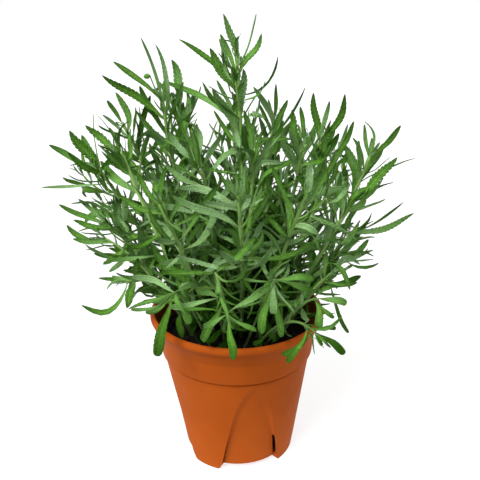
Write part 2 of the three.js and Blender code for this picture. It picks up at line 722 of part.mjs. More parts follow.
function farStems() {
  return FAR_ARCS.flatMap(({ name, azimuths, seat, reach, top, pairs, size }, arc) =>
    azimuths.map((azimuth, i) => {
      const foot = polar(azimuth * RAD, seat, 0);
      const spread = 0.9 + 0.2 * draw(arc, i, 7);
      const rise = 12 * (draw(arc, i, 8) - 0.5);
      const half = (SOIL_LEVEL + top + rise) / 2;
      const middle = polar(azimuth * RAD, (seat + reach * spread) / 2 - 6, half + 12);
      const tip = polar((azimuth + 10 * (draw(arc, i, 9) - 0.5)) * RAD, reach * spread, top + rise);
      const line = new StemLine([foot.x, foot.y], middle, tip);
      return { name: name + "_" + (i + 1), line, leaves: [], pairs, size };
    }));
}

function allStems() {
  const near = STEMS.map(({ name, seat, via, top, leaves, pairs, size }) => (
    { name, line: new StemLine(seat, asSeen(via), asSeen(top)), leaves, pairs, size }));
  return [...near, ...farStems()];
}

function overlaps(a, b) {
  const boxA = a.boundingBox();
  const boxB = b.boundingBox();
  for (let i = 0; i < 3; i++) {
    if (boxA.min[i] > boxB.max[i] || boxB.min[i] > boxA.max[i]) return false;
  }
  return !a.intersect(b).isEmpty();
}

// Grows the leaves of every stem, each clear of the pot, the soil and the other stems, and where it can be also
// clear of its own stem's other leaves, and fuses them to the stem
function grow(stems, fixed) {
  const taken = stems.map(({ line }) => [line.solid()]);
  const outer = stems.map(() => []);
  const isClear = (leaf, own) => {
    const solid = blade(leaf, BLADE_CLEARANCE);
    return !fixed.some((other) => overlaps(solid, other)) &&
      !taken.some((others, i) => i !== own && others.some((other) => overlaps(solid, other)));
  };
  const isApart = (leaf, own) => {
    const solid = blade(leaf, BLADE_CLEARANCE, OUTER_SHARE);
    return !outer[own].some((other) => overlaps(solid, other));
  };
  const place = (choices, own) => {
    let choice;
    for (const leaf of choices) {
      if (!isClear(leaf, own)) continue;
      choice ??= leaf;
      if (!isApart(leaf, own)) continue;
      choice = leaf;
      break;
    }
    if (!choice) return;
    taken[own].push(blade(choice));
    outer[own].push(blade(choice, 0, OUTER_SHARE));
  };
  stems.forEach(({ line, leaves }, own) => {
    for (const leaf of leaves) place(placedLeaves(line, leaf), own);
  });
  stems.forEach(({ line, pairs, size }, own) => {
    for (let leaf = 0; leaf < 2 * pairs; leaf++) {
      const share = FIRST_PAIR + ((LAST_PAIR - FIRST_PAIR) * Math.floor(leaf / 2)) / Math.max(pairs - 1, 1);
      place(pairedLeaves(line, own, leaf, share, size), own);
    }
  });
  return taken.map((pieces) => pieces.reduce((joined, piece) => joined.add(piece)));
}

const potMaterial = new THREE.MeshStandardMaterial({ color: 0xb9582a, roughness: 0.55, metalness: 0 });
const soilMaterial = new THREE.MeshStandardMaterial({ color: 0x1a1310, roughness: 1, metalness: 0 });
const leafMaterial = new THREE.MeshStandardMaterial({ color: 0x4c7a3e, roughness: 0.7, metalness: 0 });

const stems = allStems();
const pot = potSolid();
const soil = soilSolid(stems);
const plants = grow(stems, [pot, soil]);

const lavender = new THREE.Group();
lavender.add(meshOf("pot", pot, potMaterial));
lavender.add(meshOf("soil", soil, soilMaterial));
plants.forEach((plant, i) => lavender.add(meshOf("shoot_" + stems[i].name, plant, leafMaterial)));

export default lavender;
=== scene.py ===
"""A young lavender in a moulded plastic pot: the finer pieces and the materials for the CAD frame.

Values are millimetres unless a name says otherwise, in the frame's own axes: +Z up, the plant's front to -Y.
An azimuth is an angle round the pot, from -Y towards +X. Meshes are turned into metres when they are made.
"""

import math

import bpy
import numpy as np
from mathutils import Matrix, Vector, kdtree, noise


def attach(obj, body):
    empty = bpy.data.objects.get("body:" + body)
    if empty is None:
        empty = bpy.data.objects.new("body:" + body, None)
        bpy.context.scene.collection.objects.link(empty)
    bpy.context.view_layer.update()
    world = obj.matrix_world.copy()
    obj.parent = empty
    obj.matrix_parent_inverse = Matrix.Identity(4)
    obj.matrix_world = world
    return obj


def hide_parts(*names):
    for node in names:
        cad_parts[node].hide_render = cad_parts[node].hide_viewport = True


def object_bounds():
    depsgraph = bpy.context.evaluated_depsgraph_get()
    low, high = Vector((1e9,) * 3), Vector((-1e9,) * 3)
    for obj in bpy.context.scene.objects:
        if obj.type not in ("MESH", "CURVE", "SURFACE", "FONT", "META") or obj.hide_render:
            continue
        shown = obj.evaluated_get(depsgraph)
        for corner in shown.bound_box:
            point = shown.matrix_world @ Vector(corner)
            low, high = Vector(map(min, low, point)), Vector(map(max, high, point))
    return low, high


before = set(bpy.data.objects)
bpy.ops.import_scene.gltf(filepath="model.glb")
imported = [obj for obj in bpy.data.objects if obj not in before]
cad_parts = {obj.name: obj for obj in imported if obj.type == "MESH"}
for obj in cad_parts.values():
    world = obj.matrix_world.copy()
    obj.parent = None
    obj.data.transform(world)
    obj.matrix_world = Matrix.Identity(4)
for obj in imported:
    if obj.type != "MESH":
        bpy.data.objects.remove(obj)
cad_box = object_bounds()

MM = 0.001
Z_AXIS = np.array([0.0, 0.0, 1.0])

# Pot: radii and heights of its profile, as in the solids
POT_WALL = 1.6
FOOT_RADIUS = 44.0
BODY_TOP = (55.4, 82.7)
BAND_BOTTOM = (57.2, 84.3)
BAND_GROOVE = 0.7
BAND_TOP = (58.8, 100.0)
FLARE_TOP = (62.6, 110.5)
BEAD = (65.0, 113.3)
BEAD_EDGE = 64.3
RIM_TOP = (62.9, 116.3)
FLOOR_UNDERSIDE = 4.2
FLOOR_TOP = 6.0
FOOT_WIDTH = 4.8

# Pot: four arch panels pressed in between the feet, with drain slots in the steps at their sides
PANEL_AZIMUTHS = (12.5, 102.5, 192.5, 282.5)
ARCH_HEIGHT = 79.0
ARCH_HALF_WIDTH = 22.5
ARCH_ROUNDNESS = 0.43
PANEL_DEPTH = 3.4
PANEL_DEPTH_FADE = 0.5
SLOT_TOP = 28.0
STEP_WIDTH_LOW = 0.6
STEP_WIDTH_HIGH = 7.5
CRISP_HEIGHT = 50.0
SLOT_NOTCH = 1.2
SLOT_COLUMNS = (0.974, 1.0)
FOOT_CORNER = 3.0

# Pot: its small roundings, the angle in degrees over which an edge is sharp, the heights where the profile of
# its upper part starts outside and ends inside, the least half width of an arch for the grid's columns, and
# the radius of the last ring on its floor
POT_FILLET = 0.5
POT_SHARP_ANGLE = 50
OUTER_WALL_TOP = 82.0
INNER_WALL_TOP = 80.0
NARROWEST_ARCH = 5.5
FLOOR_RING_RADIUS = 20.0

# Pot: columns of its grid from a panel's middle (0) over its side (1) to the middle of the foot (2). They
# follow the arch, so its step stays crisp. The rows of the body are given by height.
HALF_COLUMNS = np.concatenate([
    np.linspace(0, 0.9, 12)[:-1], np.linspace(0.9, 1.0, 9)[:-1], np.linspace(1.0, 1.06, 6)[:-1],
    np.linspace(1.06, 2, 15),
])
BODY_ROWS = np.concatenate([
    np.linspace(0, FLOOR_TOP, 7), np.linspace(7.5, SLOT_TOP, 15), np.linspace(30, OUTER_WALL_TOP, 42),
])

# Soil: its surface, the radii and heights of its hidden sides, and the loose clods on it
SOIL_LEVEL = 97.0
SOIL_LUMP = 1.6
SOIL_GRIT = 1.15
SOIL_RADIUS = 56.2
SOIL_RINGS = 46
SOIL_COLUMNS = 132
SOIL_SIDES = ((SOIL_RADIUS - 1.4, BAND_BOTTOM[1] + 1), (45.0, 40.0), (36.5, FLOOR_TOP + 0.4))
CLODS = 420
CLOD_BELTS = 5
CLOD_SIDES = 8

# Stems: each gets paler the higher its top stands between the two heights of its paling
STEM_FOOT_RADIUS = 1.7
STEM_TIP_RADIUS = 1.15
LOW_STEM_THINNING = 0.65
SHOOT_FOOT_RADIUS = 0.9
SHOOT_TIP_RADIUS = 0.6
STEM_DEPTH_IN_SOIL = 13.0
ROOT_SINK = 1.2
STEM_RING_STEP = 3.0
STEM_SIDES = 8
STEM_GROOVE = 0.78
JOINT_SWELLING = 0.2
STEM_PALING = (120, 180)

# Leaf blades. The outline says how fast a blade widens from its root and narrows to its tip. Fold and roll
# are shares of the half width: the least, and what the draw may add.
OUTLINES = {"plain": (1.0, 0.6), "toothed": (0.9, 0.75), "blunt": (1.3, 0.35)}
LEAF_THICKNESS = 0.75
LEAF_EDGE = 0.02
LEAF_WIDENING = 1.06
NARROWEST_SHARE = 0.14
LEAF_SWAY = 0.045
LEAF_TWIST = 34
LEAF_FOLD = (0.22, 0.34)
LEAF_ROLL = (0.1, 0.25)
LEAF_RIPPLE = 0.1
LEAF_COLUMNS = (1.0, 0.74, 0.38, 0.0, -0.38, -0.74, -1.0)
SMALL_LEAF_COLUMNS = (1.0, 0.5, 0.0, -0.5, -1.0)
PLAIN_ROW_STEP = 3.2
FEWEST_PLAIN_ROWS = 7
PLANT_SHARP_ANGLE = 75

# Teeth: where along the blade they start and end, their length, their depth as a share of the half width,
# and within each tooth the places of its rows and how deep each is cut
TEETH_FROM = {"toothed": 0.34, "blunt": 0.5}
TEETH_TO = 0.955
TOOTH_LENGTH = 2.9
TOOTH_DEPTH = {"plain": 0.0, "toothed": 0.2, "blunt": 0.09}
TOOTH_MARKS = (0.0, 0.22, 0.86)
TOOTH_CUTS = (1.0, 0.45, 0.0)

# The point from which the plant is measured: a place "as seen" is (x, z, depth), where x and z are read on
# the upright plane through the pot's axis, and the point itself lies on that line of sight at y = depth.
EYE = np.array([0.0, -400.0, 318.0])

# The stems that face the front, as in the solids: name, seat in the soil (x, y), middle and top as seen,
# number of leaf pairs that follow the plant's habit, their size, and the leaves that are placed one by one,
# each as (place on the stem, tip x, tip z, tip depth, width, sideways bow, turn). Bows go to the left of a
# leaf's heading, and a turn of 0 shows the blade's full width and 90 its edge.
STEMS = [
    ("top_centre", (1, 3), (4, 215, 2), (1, 298, 6), 3, 40, [
        (0.93, -7, 322, 2, 5.2, -1.5, 15), (0.94, 14, 322, 14, 3.3, -1.5, 70),
        (0.9, -9, 310, 14, 3.7, 0, 30), (0.83, -16, 301.5, -4, 6.6, 1, 10), (0.82, 28, 296, 8, 3.3, -7, 65),
        (0.75, 5.5, 288.5, -8, 5.9, -1, 5), (0.8, -36, 307, 12, 4.5, -6, 25),
        (0.66, -15, 276, -10, 6.6, 0, 10), (0.7, -12, 281.5, 10, 3.3, 0, 40),
        (0.7, -47, 281, 18, 4.1, -3, 30),
    ]),
    ("top_left", (-12, 3), (-36, 190, 4), (-48, 268, 2), 3, 38, [
        (0.95, -60, 308, 0, 4.1, -2, 50), (0.93, -51, 304, 8, 4.6, -4.5, 35),
        (1, -79, 293.5, 4, 4.3, -2, 35), (0.93, -87, 285, -4, 5.4, 0, 8), (0.78, -28, 262, -6, 4.5, 1, 25),
        (0.74, -66, 262, 8, 4.5, 1, 20),
    ]),
    ("upper_left", (-4, 11), (-24, 195, 16), (-37, 266, 18), 2, 38, [
        (1, -41, 294.5, 14, 6.1, -2.5, 5), (0.9, -25, 275, 20, 4.5, 1, 20),
        (0.86, -52, 282, 26, 4.1, -2, 30),
    ]),
    ("upper_right", (9, 9), (19, 185, 12), (25.5, 252, 12), 2, 34, [
        (1, 22, 269, 14, 2.8, 0, 30), (1, 27, 279, 6, 3.3, -0.6, 30), (0.93, 16, 266, 14, 2.8, -1, 30),
        (0.92, 35, 268.5, 4, 3.6, 0.5, 15), (0.88, 12, 277, -4, 4.1, -6, 25),
    ]),
    ("upper_right_inner", (16, -3), (34, 175, -6), (48, 238, -4), 2, 36, [
        (0.95, 38, 262, -6, 5.6, 1, 5), (1, 43.5, 264, 4, 3.7, 0, 30), (0.82, 31, 248, -14, 6.6, 0, 5),
    ]),
    ("right_top", (19, 5), (40, 180, 6), (58, 240, 6), 2, 36, [
        (1, 52, 273, 4, 5.2, 0.6, 8), (1, 63, 267.5, 10, 3.9, 0, 35), (1, 73, 272, 0, 4.9, -3.5, 12),
        (0.94, 64.5, 255, 8, 2.8, 0, 30),
    ]),
    ("right_top_front", (23.5, -3), (47, 165, -10), (66, 226, -12), 2, 36, [
        (1, 80, 254, -14, 3.9, -1, 18), (1, 76, 252, -4, 3.6, -1, 40), (0.9, 62, 246, -20, 4.1, 1, 20),
    ]),
    ("right_upper", (27, 6), (66, 165, 6), (92, 229, 2), 2, 36, [
        (1, 87, 252, 2, 3.3, 0, 25), (1, 93, 243, 8, 2.8, 0, 30), (1, 112, 251, 0, 4.1, -1, 28),
        (0.92, 79.5, 243, 6, 3.3, -3, 45), (0.86, 124, 228, 8, 3, 2.5, 70),
        (0.84, 70, 240, -8, 5.2, -6, 15),
    ]),
    ("right_broad", (31, -7), (60, 155, -18), (84, 198, -18), 2, 36, [
        (1, 111.5, 229, -16, 6.9, -1, 5), (0.9, 91, 203, -30, 4.9, -3, 25),
        (0.86, 73, 219, -24, 4.5, 2, 25),
    ]),
    ("right_middle", (34, 1), (60, 140, 2), (80, 174, 0), 1, 34, [
        (1, 127, 188.5, 6, 4.9, -3, 12), (1, 119, 197, 10, 3, -3, 65), (1, 98.5, 183, 6, 2.8, 0, 65),
        (0.92, 92, 171, -6, 2.8, 0, 65), (0.9, 90, 200, 14, 4.1, 2, 30),
    ]),
    ("right_lower", (31, -15), (58, 128, -16), (81, 153, -16), 1, 30, [
        (1, 101, 153, -10, 3.1, 0, 60), (1, 105, 150.5, -18, 3.4, -4, 50),
        (0.92, 96, 169, -12, 4.1, -1, 25), (0.84, 91, 149, -26, 5.4, 6, 20),
    ]),
    ("right_low", (26, -22), (51, 121, -32), (70, 142, -37), 1, 30, [
        (1, 86, 92, -46, 3.4, -3, 30), (0.9, 90, 135, -39, 4.1, -3, 25), (0.9, 66, 160, -44, 4.1, 1, 25),
    ]),
    ("right_front_low", (20, -28), (44, 112, -48), (61, 121, -53), 1, 28, [
        (1, 83, 117, -53, 5.7, 1.5, 8), (0.95, 63, 96, -62, 6.2, 1.5, 8), (1, 74, 105, -57, 4.1, -1, 20),
        (0.9, 72, 133, -51, 4.1, 1, 30),
    ]),
    ("right_rim", (12, -33), (36, 101, -57), (60, 93, -76), 0, 24, [
        (1, 84, 73.5, -78, 5.9, 0.5, 8), (1, 35, 73, -83, 5.2, 2, 5), (0.9, 39, 66, -90, 5.2, 1.5, 8),
        (1, 66, 81, -80, 3, 0, 20), (1, 76, 96, -76, 4.1, 1, 25),
    ]),
    ("front_centre", (-8, -31), (-16, 142, -53), (-7, 108, -67), 0, 28, [
        (1, -3.5, 69, -96, 6.6, 1, 4), (1, -26, 99, -74, 4.6, 1, 18), (0.92, -27, 86, -67, 6.7, 1, 8),
        (0.92, -30, 130, -74, 5.4, 0, 12), (0.9, -50, 116, -67, 4.6, 2, 15),
        (1, -43, 112, -79, 3.3, -2.5, 45), (1, 25, 132, -77, 6.1, 1, 8), (1, 15, 95, -82, 4.1, -1, 25),
    ]),
    ("front_right", (5, -31), (22, 124, -48), (28, 137, -65), 0, 28, [
        (1, 27, 109, -74, 5.4, 0.5, 8), (1, 57, 138, -67, 5.4, 1, 12), (1, 38, 151, -60, 2.8, -4, 50),
        (0.84, 19, 92, -77, 6.6, -1, 5), (0.8, 34, 89, -65, 5.4, 1, 12), (0.86, 56, 129, -60, 4.9, 1, 15),
        (0.9, 5, 138, -70, 3.3, 1, 40),
    ]),
    ("front_tall", (3, -13), (4, 150, -44), (1.5, 203, -55), 0, 34, [
        (1, -6, 216, -57, 4.9, 1, 8), (1, 3, 232, -49, 3, 0, 60), (0.9, 7, 224, -44, 6.6, -0.5, 5),
        (0.92, -41, 208, -62, 5.7, -3, 8), (0.88, -24, 197, -73, 4.9, -2, 12),
        (0.76, -46, 203, -65, 5.7, -1, 10), (0.72, 24, 207, -62, 4.4, -2, 25),
        (0.56, 57, 166, -75, 4.4, -4, 30), (0.52, -13, 160, -81, 6.1, 0, 8),
        (0.5, -46, 158, -70, 4.6, 3, 25), (0.62, 20, 184, -81, 4.1, -1, 25),
    ]),
    ("right_front", (15, -14), (34, 158, -36), (51, 203, -47), 1, 36, [
        (0.9, 76, 208, -47, 6.2, 2.5, 12), (1, 52, 226, -44, 5.4, 0, 15), (0.82, 68, 230, -52, 4.6, -2, 25),
        (0.7, 60, 172, -60, 5.4, 3, 12), (0.62, 20, 186, -57, 4.9, -1, 18),
        (0.56, 62, 186, -39, 4.1, -2, 30),
    ]),
    ("left_rim", (-19, -28), (-38, 120, -46), (-51, 124, -53), 0, 28, [
        (0.93, -63, 73, -71, 8.6, 0.5, 5), (1, -80, 114, -53, 3.4, 4, 40), (1, -69, 112, -46, 3.8, 4, 30),
        (0.85, -36, 101, -69, 6.1, 0, 10), (0.9, -30, 137, -64, 4.1, 0, 20),
    ]),
    ("left_low", (-28, -21), (-58, 130, -26), (-82, 136, -29), 1, 30, [
        (1, -117, 118, -31, 4.3, 12, 12), (0.88, -83, 115, -37, 6.6, 0, 5),
        (0.94, -92, 142, -22, 3.6, 1, 30), (0.86, -72, 156, -37, 4.1, 1, 25),
    ]),
    ("left_middle_low", (-33, -11), (-64, 142, -10), (-94, 171, -12), 1, 32, [
        (1, -121, 182, -10, 4.3, 6, 15), (0.93, -118, 171, -18, 4.8, 0, 12),
        (0.82, -98, 151, -20, 4.9, 1, 18), (0.76, -94, 145, -10, 4.1, 1, 30),
    ]),
    ("left_middle", (-34, -1), (-66, 150, 4), (-90, 181, 4), 2, 34, [
        (1, -125, 197, 0, 4.3, 1, 25), (1, -111, 201, 8, 3.8, 0, 35), (0.94, -116, 185.5, 0, 4.6, 1, 18),
        (1, -102.5, 198, 12, 3, 0, 30), (0.84, -86, 204, -10, 6.6, 0, 5),
    ]),
    ("left_upper", (-28, 8), (-67, 175, 10), (-94, 222, 6), 2, 36, [
        (1, -112, 249, 4, 6.9, 0.5, 0), (1, -104, 246, 12, 6.1, 0.5, 8), (1, -127, 239.5, 0, 4.3, 1, 25),
        (0.94, -115, 234, -8, 5.1, 1, 12), (0.88, -136, 209.5, -10, 3, 0.5, 55),
    ]),
    ("left_upper_front", (-24, -6), (-56, 172, -14), (-78, 234, -14), 2, 36, [
        (1, -101, 252.5, -14, 5.7, 1, 8), (1, -85, 251, -8, 3, 0, 35), (0.86, -89, 236, -22, 4.6, 1, 18),
        (1, -92, 259, -6, 2.5, -2, 75),
    ]),
    ("left_top", (-19, 14), (-48, 188, 20), (-76, 254, 20), 2, 36, [
        (1, -85, 269, 20, 3.3, 0, 28), (0.95, -79, 274, 26, 4.6, -3.5, 18),
        (0.88, -89, 259.5, 14, 3.3, -1, 50), (0.84, -56, 272, 20, 4.1, 1, 25),
    ]),
    ("left_front", (-15, -17), (-36, 150, -44), (-54, 196, -55), 1, 34, [
        (1, -70, 222, -57, 4.9, 1, 15), (1, -48, 224, -49, 4.4, 1, 25), (0.92, -84, 205, -57, 4.6, 2, 18),
        (0.84, -32, 211, -65, 4.4, 0, 20), (0.7, -60, 170, -73, 4.6, 2, 20),
        (0.62, -22, 184, -70, 4.1, 0, 30),
    ]),
    ("centre_left", (-7, -6), (-17, 180, -26), (-26, 236, -31), 2, 36, [
        (0.94, -27, 252, -31, 5.7, -1, 8), (0.9, -46, 248, -36, 4.6, 2, 20),
        (0.86, -9, 246, -39, 4.4, 0, 25), (0.72, -52, 226, -39, 4.6, 1, 20),
    ]),
    ("centre_right", (8, -5), (10, 178, -20), (13, 236, -25), 2, 36, [
        (1, 46.5, 276.5, -11, 3.8, -4.5, 55), (0.95, 6, 262, -31, 4.9, 0, 15),
        (0.88, 33, 226, -39, 4.6, 1, 20), (0.84, 26, 246, -36, 4.1, 0, 25),
    ]),
]

# The stems of the far side, in two arcs: name, azimuths, radius of the seats, reach and height of the tops,
# number of leaf pairs and their size. Draws vary a top's height and azimuth, and a stem's middle lies in
# and up from the straight line.
FAR_ARCS = [
    ("far_low", (114, 135, 158, 181, 204, 224, 246), 29, 78, 168, 3, 38),
    ("far_high", (140, 180, 220), 18, 50, 232, 4, 40),
]
ARC_TOP_DRAW = 12
ARC_AZIMUTH_DRAW = 10
ARC_BOW_IN = 6
ARC_BOW_UP = 12

# Listed leaves: blunt with a tip both nearer and lower than this (depth, height), else toothed over
# this width, and the moves in depth that the solids try for a tip
BLUNT_WITHIN = (-45, 140)
TOOTHED_OVER = 4.4
DEPTH_MOVES = (0, 4, -4, 8, -8, 12, -12, 17, -17, 23, -23, 30, -30)

# Habit of the paired leaves, as in the solids, in millimetres and degrees
FIRST_PAIR = 0.3
LAST_PAIR = 0.92
LOW_LEAF_SPREAD = 66
SPREAD_LOSS = 26
SPREAD_DRAW = 16
AZIMUTH_DRAW = 34
TWIST_DRAW = 70
LEAF_ARCH = 0.09
LEAF_SLENDERNESS = 0.135
TOOTHED_SHARE = 0.27
SHORTENED = 0.72
SWINGS = (
    (0, 0), (14, 0), (-14, 0), (0, 12), (0, -12), (28, 0), (-28, 0), (14, 14), (-14, 14), (14, -14),
    (-14, -14), (42, 0), (-42, 0), (0, 26), (0, -26), (58, 8), (-58, 8), (75, 0), (-75, 0),
)
SAME_PLACE = 0.05

# Habit of the small leaves that only this scene has: a pair at each joint of the stem with a smaller leaf
# in each axil, side shoots with pairs of their own, a few young leaves at each tip, and more leaves low in
# the crown
JOINT_STEP = 17.0
FIRST_JOINT = 10.0
JOINT_LEAF = 50.0
JOINT_LEAF_LOSS = 0.55
JOINT_SPREAD = 72
JOINT_SPREAD_LOSS = 42
JOINT_DRAW = 34
AXIL_LEAF = 0.45
AXIL_SPREAD = 0.6
AXIL_DRAW = 90
TIP_LEAVES = 4
TIP_LEAF = 12.0
SMALL_SLENDERNESS = 0.122
SMALL_ARCH_DRAW = 0.6
SMALL_TWIST_DRAW = 110
SMALL_TOOTHED_SHARE = 0.35
SMALLEST_TOOTHED = 20
SMALL_SWINGS = ((0, 1), (35, 1), (-35, 1), (0, 0.7), (70, 0.8), (-70, 0.8), (0, 0.45), (180, 0.6))
GOLDEN_ANGLE = 137.5

# Side shoots: fewer on the stems whose tops stand in front of FRONT_DEPTH
SIDE_SHOOTS = 4
SIDE_SHOOTS_IN_FRONT = 2
FRONT_DEPTH = -8.0
SIDE_SHOOT_FIRST = 0.16
SIDE_SHOOT_LAST = 0.75
SIDE_SHOOT_LENGTH = 38.0
SIDE_SHOOT_LEAN = 0.9
SIDE_SHOOT_RISE = 0.35
SIDE_SHOOT_BOW = 0.08
SIDE_JOINT_STEP = 12.5
SIDE_LEAF = 40.0

# Stems that are thinner and have few small leaves and no side shoots
SPARSE_JOINT_STEP = 26.0
SPARSE_STEMS = (
    "right_low", "right_front_low", "right_rim", "right_lower", "right_middle", "left_low", "left_rim",
    "left_middle_low", "front_centre", "front_right", "far_low_1", "far_low_7",
)

# Low leaves, on the stems whose tops stand neither far left nor far right
LOW_LEAVES = 9
LOW_LEAF = 30.0
LOW_LEAF_HEIGHTS = (111.0, 186.0)
LOW_LEAVES_WITHIN = 62.0
LOW_LEAVES_UP_TO = 0.9

# The numbers under which the leaves of a stem are drawn: listed one by one, over the soil, at the stem's
# joints, at those of each side shoot, low, and the bud's bracts. The paired leaves start at 0.
PLACED_NUMBER = 100
SOIL_NUMBER = 150
JOINT_NUMBER = 200
SHOOT_NUMBER = 400
NUMBERS_PER_SHOOT = 60
LOW_NUMBER = 700
BRACT_NUMBER = 90

# Room that small leaves keep to the rim and to the soil
RIM_ROOM = 3.2
SOIL_ROOM = 2.5

# Tint of the leaves, from -0.5 for the darkest to 1 for the palest: the level that chance adds to, what a
# kind of leaf adds, and what a place adds or takes. The young leaves at the tips are paler, and the small
# leaves at the joints and the leaves over the soil are darker as painted shade. The places add painted light
# in front and painted shade low in the crown, at the pot, deep inside the crown and far out. A pair says
# where a place's part starts and where it is whole.
TINT_RANGE = (-0.5, 1)
TINT_LEVEL = 0.17
TIP_PALENESS = 0.35
# Painted shade: the small leaves at the joints are darker
JOINT_SHADED_PALENESS = -0.13
LOW_PALENESS = 0.02
# Painted shade: the leaves hanging over the soil are darker
SOIL_LEAF_SHADED_PALENESS = -0.12
# Painted shade low in the crown, which also dims the painted light in front there
LOW_CROWN = (190, 130)
LOW_CROWN_PAINTED_SHADE = 0.04
LOW_CROWN_EVENNESS = 0.45
LOW_CROWN_SHADE = 0.4
# Painted light: leaves in front are paler
FRONT_CROWN = (0, -60)
FRONT_PAINTED_LIGHT = 0.16
# Painted shade on the leaves low at the pot, over it and beside it
FOOT_OVER_POT = (165, 125)
OVER_POT_PAINTED_SHADE = 0.5
FOOT_BESIDE_POT = (145, 115)
BESIDE_POT_PAINTED_SHADE = 0.45
# Painted shade on the leaves deep inside the crown and far out
CROWN_INSIDE = (0.85, 0.4)
INSIDE_PAINTED_SHADE = 0.3
CROWN_OUTSIDE = (0.85, 1.2)
OUTSIDE_PAINTED_SHADE = 0.33

# The crown's foot and its reach from there along X, Y and Z, which say how far inside the crown a point is,
# for the painted shade deep inside and far out
CROWN_FOOT = np.array([0.0, 0.0, 100.0])
CROWN_REACH = np.array([105.0, 80.0, 155.0])

# Where the rim's inner face, the soil and the room behind show between the leaves, as seen: from and to in
# x, from and to in z
BARE_PLACES = (
    (-66, -48, 95, 119), (54, 65, 112, 125), (-33, -12, 84, 101), (0, 16, 82, 94), (24, 40, 84, 108),
    (-25, -15, 244, 268), (-90, -72, 256, 272), (-70, -56, 266, 276), (5, 20, 284, 310), (16, 23, 262, 274),
    (80, 95, 100, 106), (76, 94, 118, 124), (-97, -80, 118, 132), (80, 92, 222, 236), (84, 100, 70, 90),
)

# One leaf each on some stems, hanging over the soil behind the front of the rim and darkened as painted
# shade, in numbers as above
SOIL_LEAVES = {
    "front_centre": (0.1, -24, 84.5, -42, 5.2, 1, 12),
    "left_low": (0.24, -42, 88.5, -36, 5.6, -1, 10),
    "left_upper_front": (0.12, -36, 91, -30, 5.4, 1, 20),
    "right_front": (0.14, 30, 84.5, -40, 7, -1, 8),
    "right_rim": (0.2, 12.5, 82.5, -48, 4.2, 0.5, 15),
}

# A bare thread-like stalk near a stem's tip: its middle and end as seen, and its radii
STALK_STEM = "left_upper"
STALK_VIA = (-95.6, 243.9, 4)
STALK_TIP = (-94.5, 259.5, 3)
STALK_RADII = (0.45, 0.3)

# The one flower bud, nodding on a thin stalk with two bracts from the tip of a stem: places as seen
BUD_STEM = "top_left"
BUD_NODE = (-52.4, 275.5, 2)
BUD_NECK = (-55.6, 284.6, 2)
BUD_TIP = (-59.8, 283.6, 1)
BUD_RADIUS = 1.75
BUD_SIDES = 10
BUD_ROWS = np.array([0.0, 0.06, 0.18, 0.34, 0.5, 0.66, 0.8, 0.9, 0.97])
BUD_STALK_RADII = (0.6, 0.45)
BRACT_PLACE = 0.4
BRACT_AZIMUTHS = (40, 220)
BRACT_SPREAD = 38
BRACT_SIZE = (4.5, 1.5)
BRACT_ARCH = 0.1

# Studio: a white room and floor that glow, and a soft key light. Lengths are metres. A pair of edges says
# where a wall's or the floor's light starts to change and where it has changed.
CEILING_LIGHT = 0.85
CEILING_EDGES = (0.1, 0.5)
WALL_LIGHT = 0.5
WALL_EDGES = (0.4, 0.8)
FLOOR_HALF = 40.0
FLOOR_GLOW = 0.76
FLOOR_GLOW_IN_FRONT = 0.05
FLOOR_GLOW_EDGES = (-0.12, -0.07)
KEY_STRENGTH = 3.0
KEY_AZIMUTH = -38
KEY_ELEVATION = 50
KEY_SOFTNESS = 26

# Camera, as fitted to the pot's rim, band and foot in the photograph
CAMERA_LENS = 44.25
CAMERA_TILT = 69.59
CAMERA_TURN = -0.39
CAMERA_ROLL = -0.35


def draw(stem, leaf, purpose):
    """A number from 0 to 1 that is always the same for the same stem, leaf and purpose."""
    value = math.sin(12.9898 * (stem + 1) + 78.233 * (leaf + 1) + 37.719 * purpose) * 43758.5453
    return value - math.floor(value)


def centred_draw(stem, leaf, purpose, width):
    """A draw over a width with 0 in its middle."""
    return width * (draw(stem, leaf, purpose) - 0.5)


def progress(value, start, end):
    """How far a value is on its way from start to end, kept within 0 to 1."""
    return np.clip((value - start) / (end - start), 0, 1)


def smooth_step(share):
    return share * share * (3 - 2 * share)


def unit(vector):
    return vector / np.linalg.norm(vector)


def polar(azimuth, radius, height):
    return np.array([radius * math.sin(azimuth), -radius * math.cos(azimuth), height])


def as_seen(x, z, depth):
    """The point on the line of sight through an as-seen place."""
    return (np.array([x, 0.0, z]) - EYE) * (1 + depth / -EYE[1]) + EYE


def circle(side, front, count):
    """Points round an axis at radius 1, from the two directions across it."""
    turns = np.arange(count) * 2 * math.pi / count
    return np.cos(turns)[:, None] * side + np.sin(turns)[:, None] * front


def new_object(name, points, faces, materials, sharp_angle=180):
    """An object with a smooth mesh, from points in millimetres."""
    mesh = bpy.data.meshes.new(name)
    mesh.from_pydata((np.asarray(points) * MM).tolist(), [], faces)
    mesh.polygons.foreach_set("use_smooth", np.ones(len(faces), dtype=bool))
    for material in materials:
        mesh.materials.append(material)
    if sharp_angle < 180:
        mesh.set_sharp_from_angle(angle=math.radians(sharp_angle))
    mesh.update()
    return bpy.data.objects.new(name, mesh)


class Bend:
    """A quadratic curve from its start, towards its control point, to its end."""

    def __init__(self, start, control, end):
        self.start, self.control, self.end = start, control, end

    def point(self, share):
        share = np.asarray(share)[..., None]
        rest = 1 - share
        return rest ** 2 * self.start + 2 * rest * share * self.control + share ** 2 * self.end

    def tangent(self, share):
        share = np.asarray(share)[..., None]
        slope = (1 - share) * (self.control - self.start) + share * (self.end - self.control)
        return slope / np.linalg.norm(slope, axis=-1, keepdims=True)


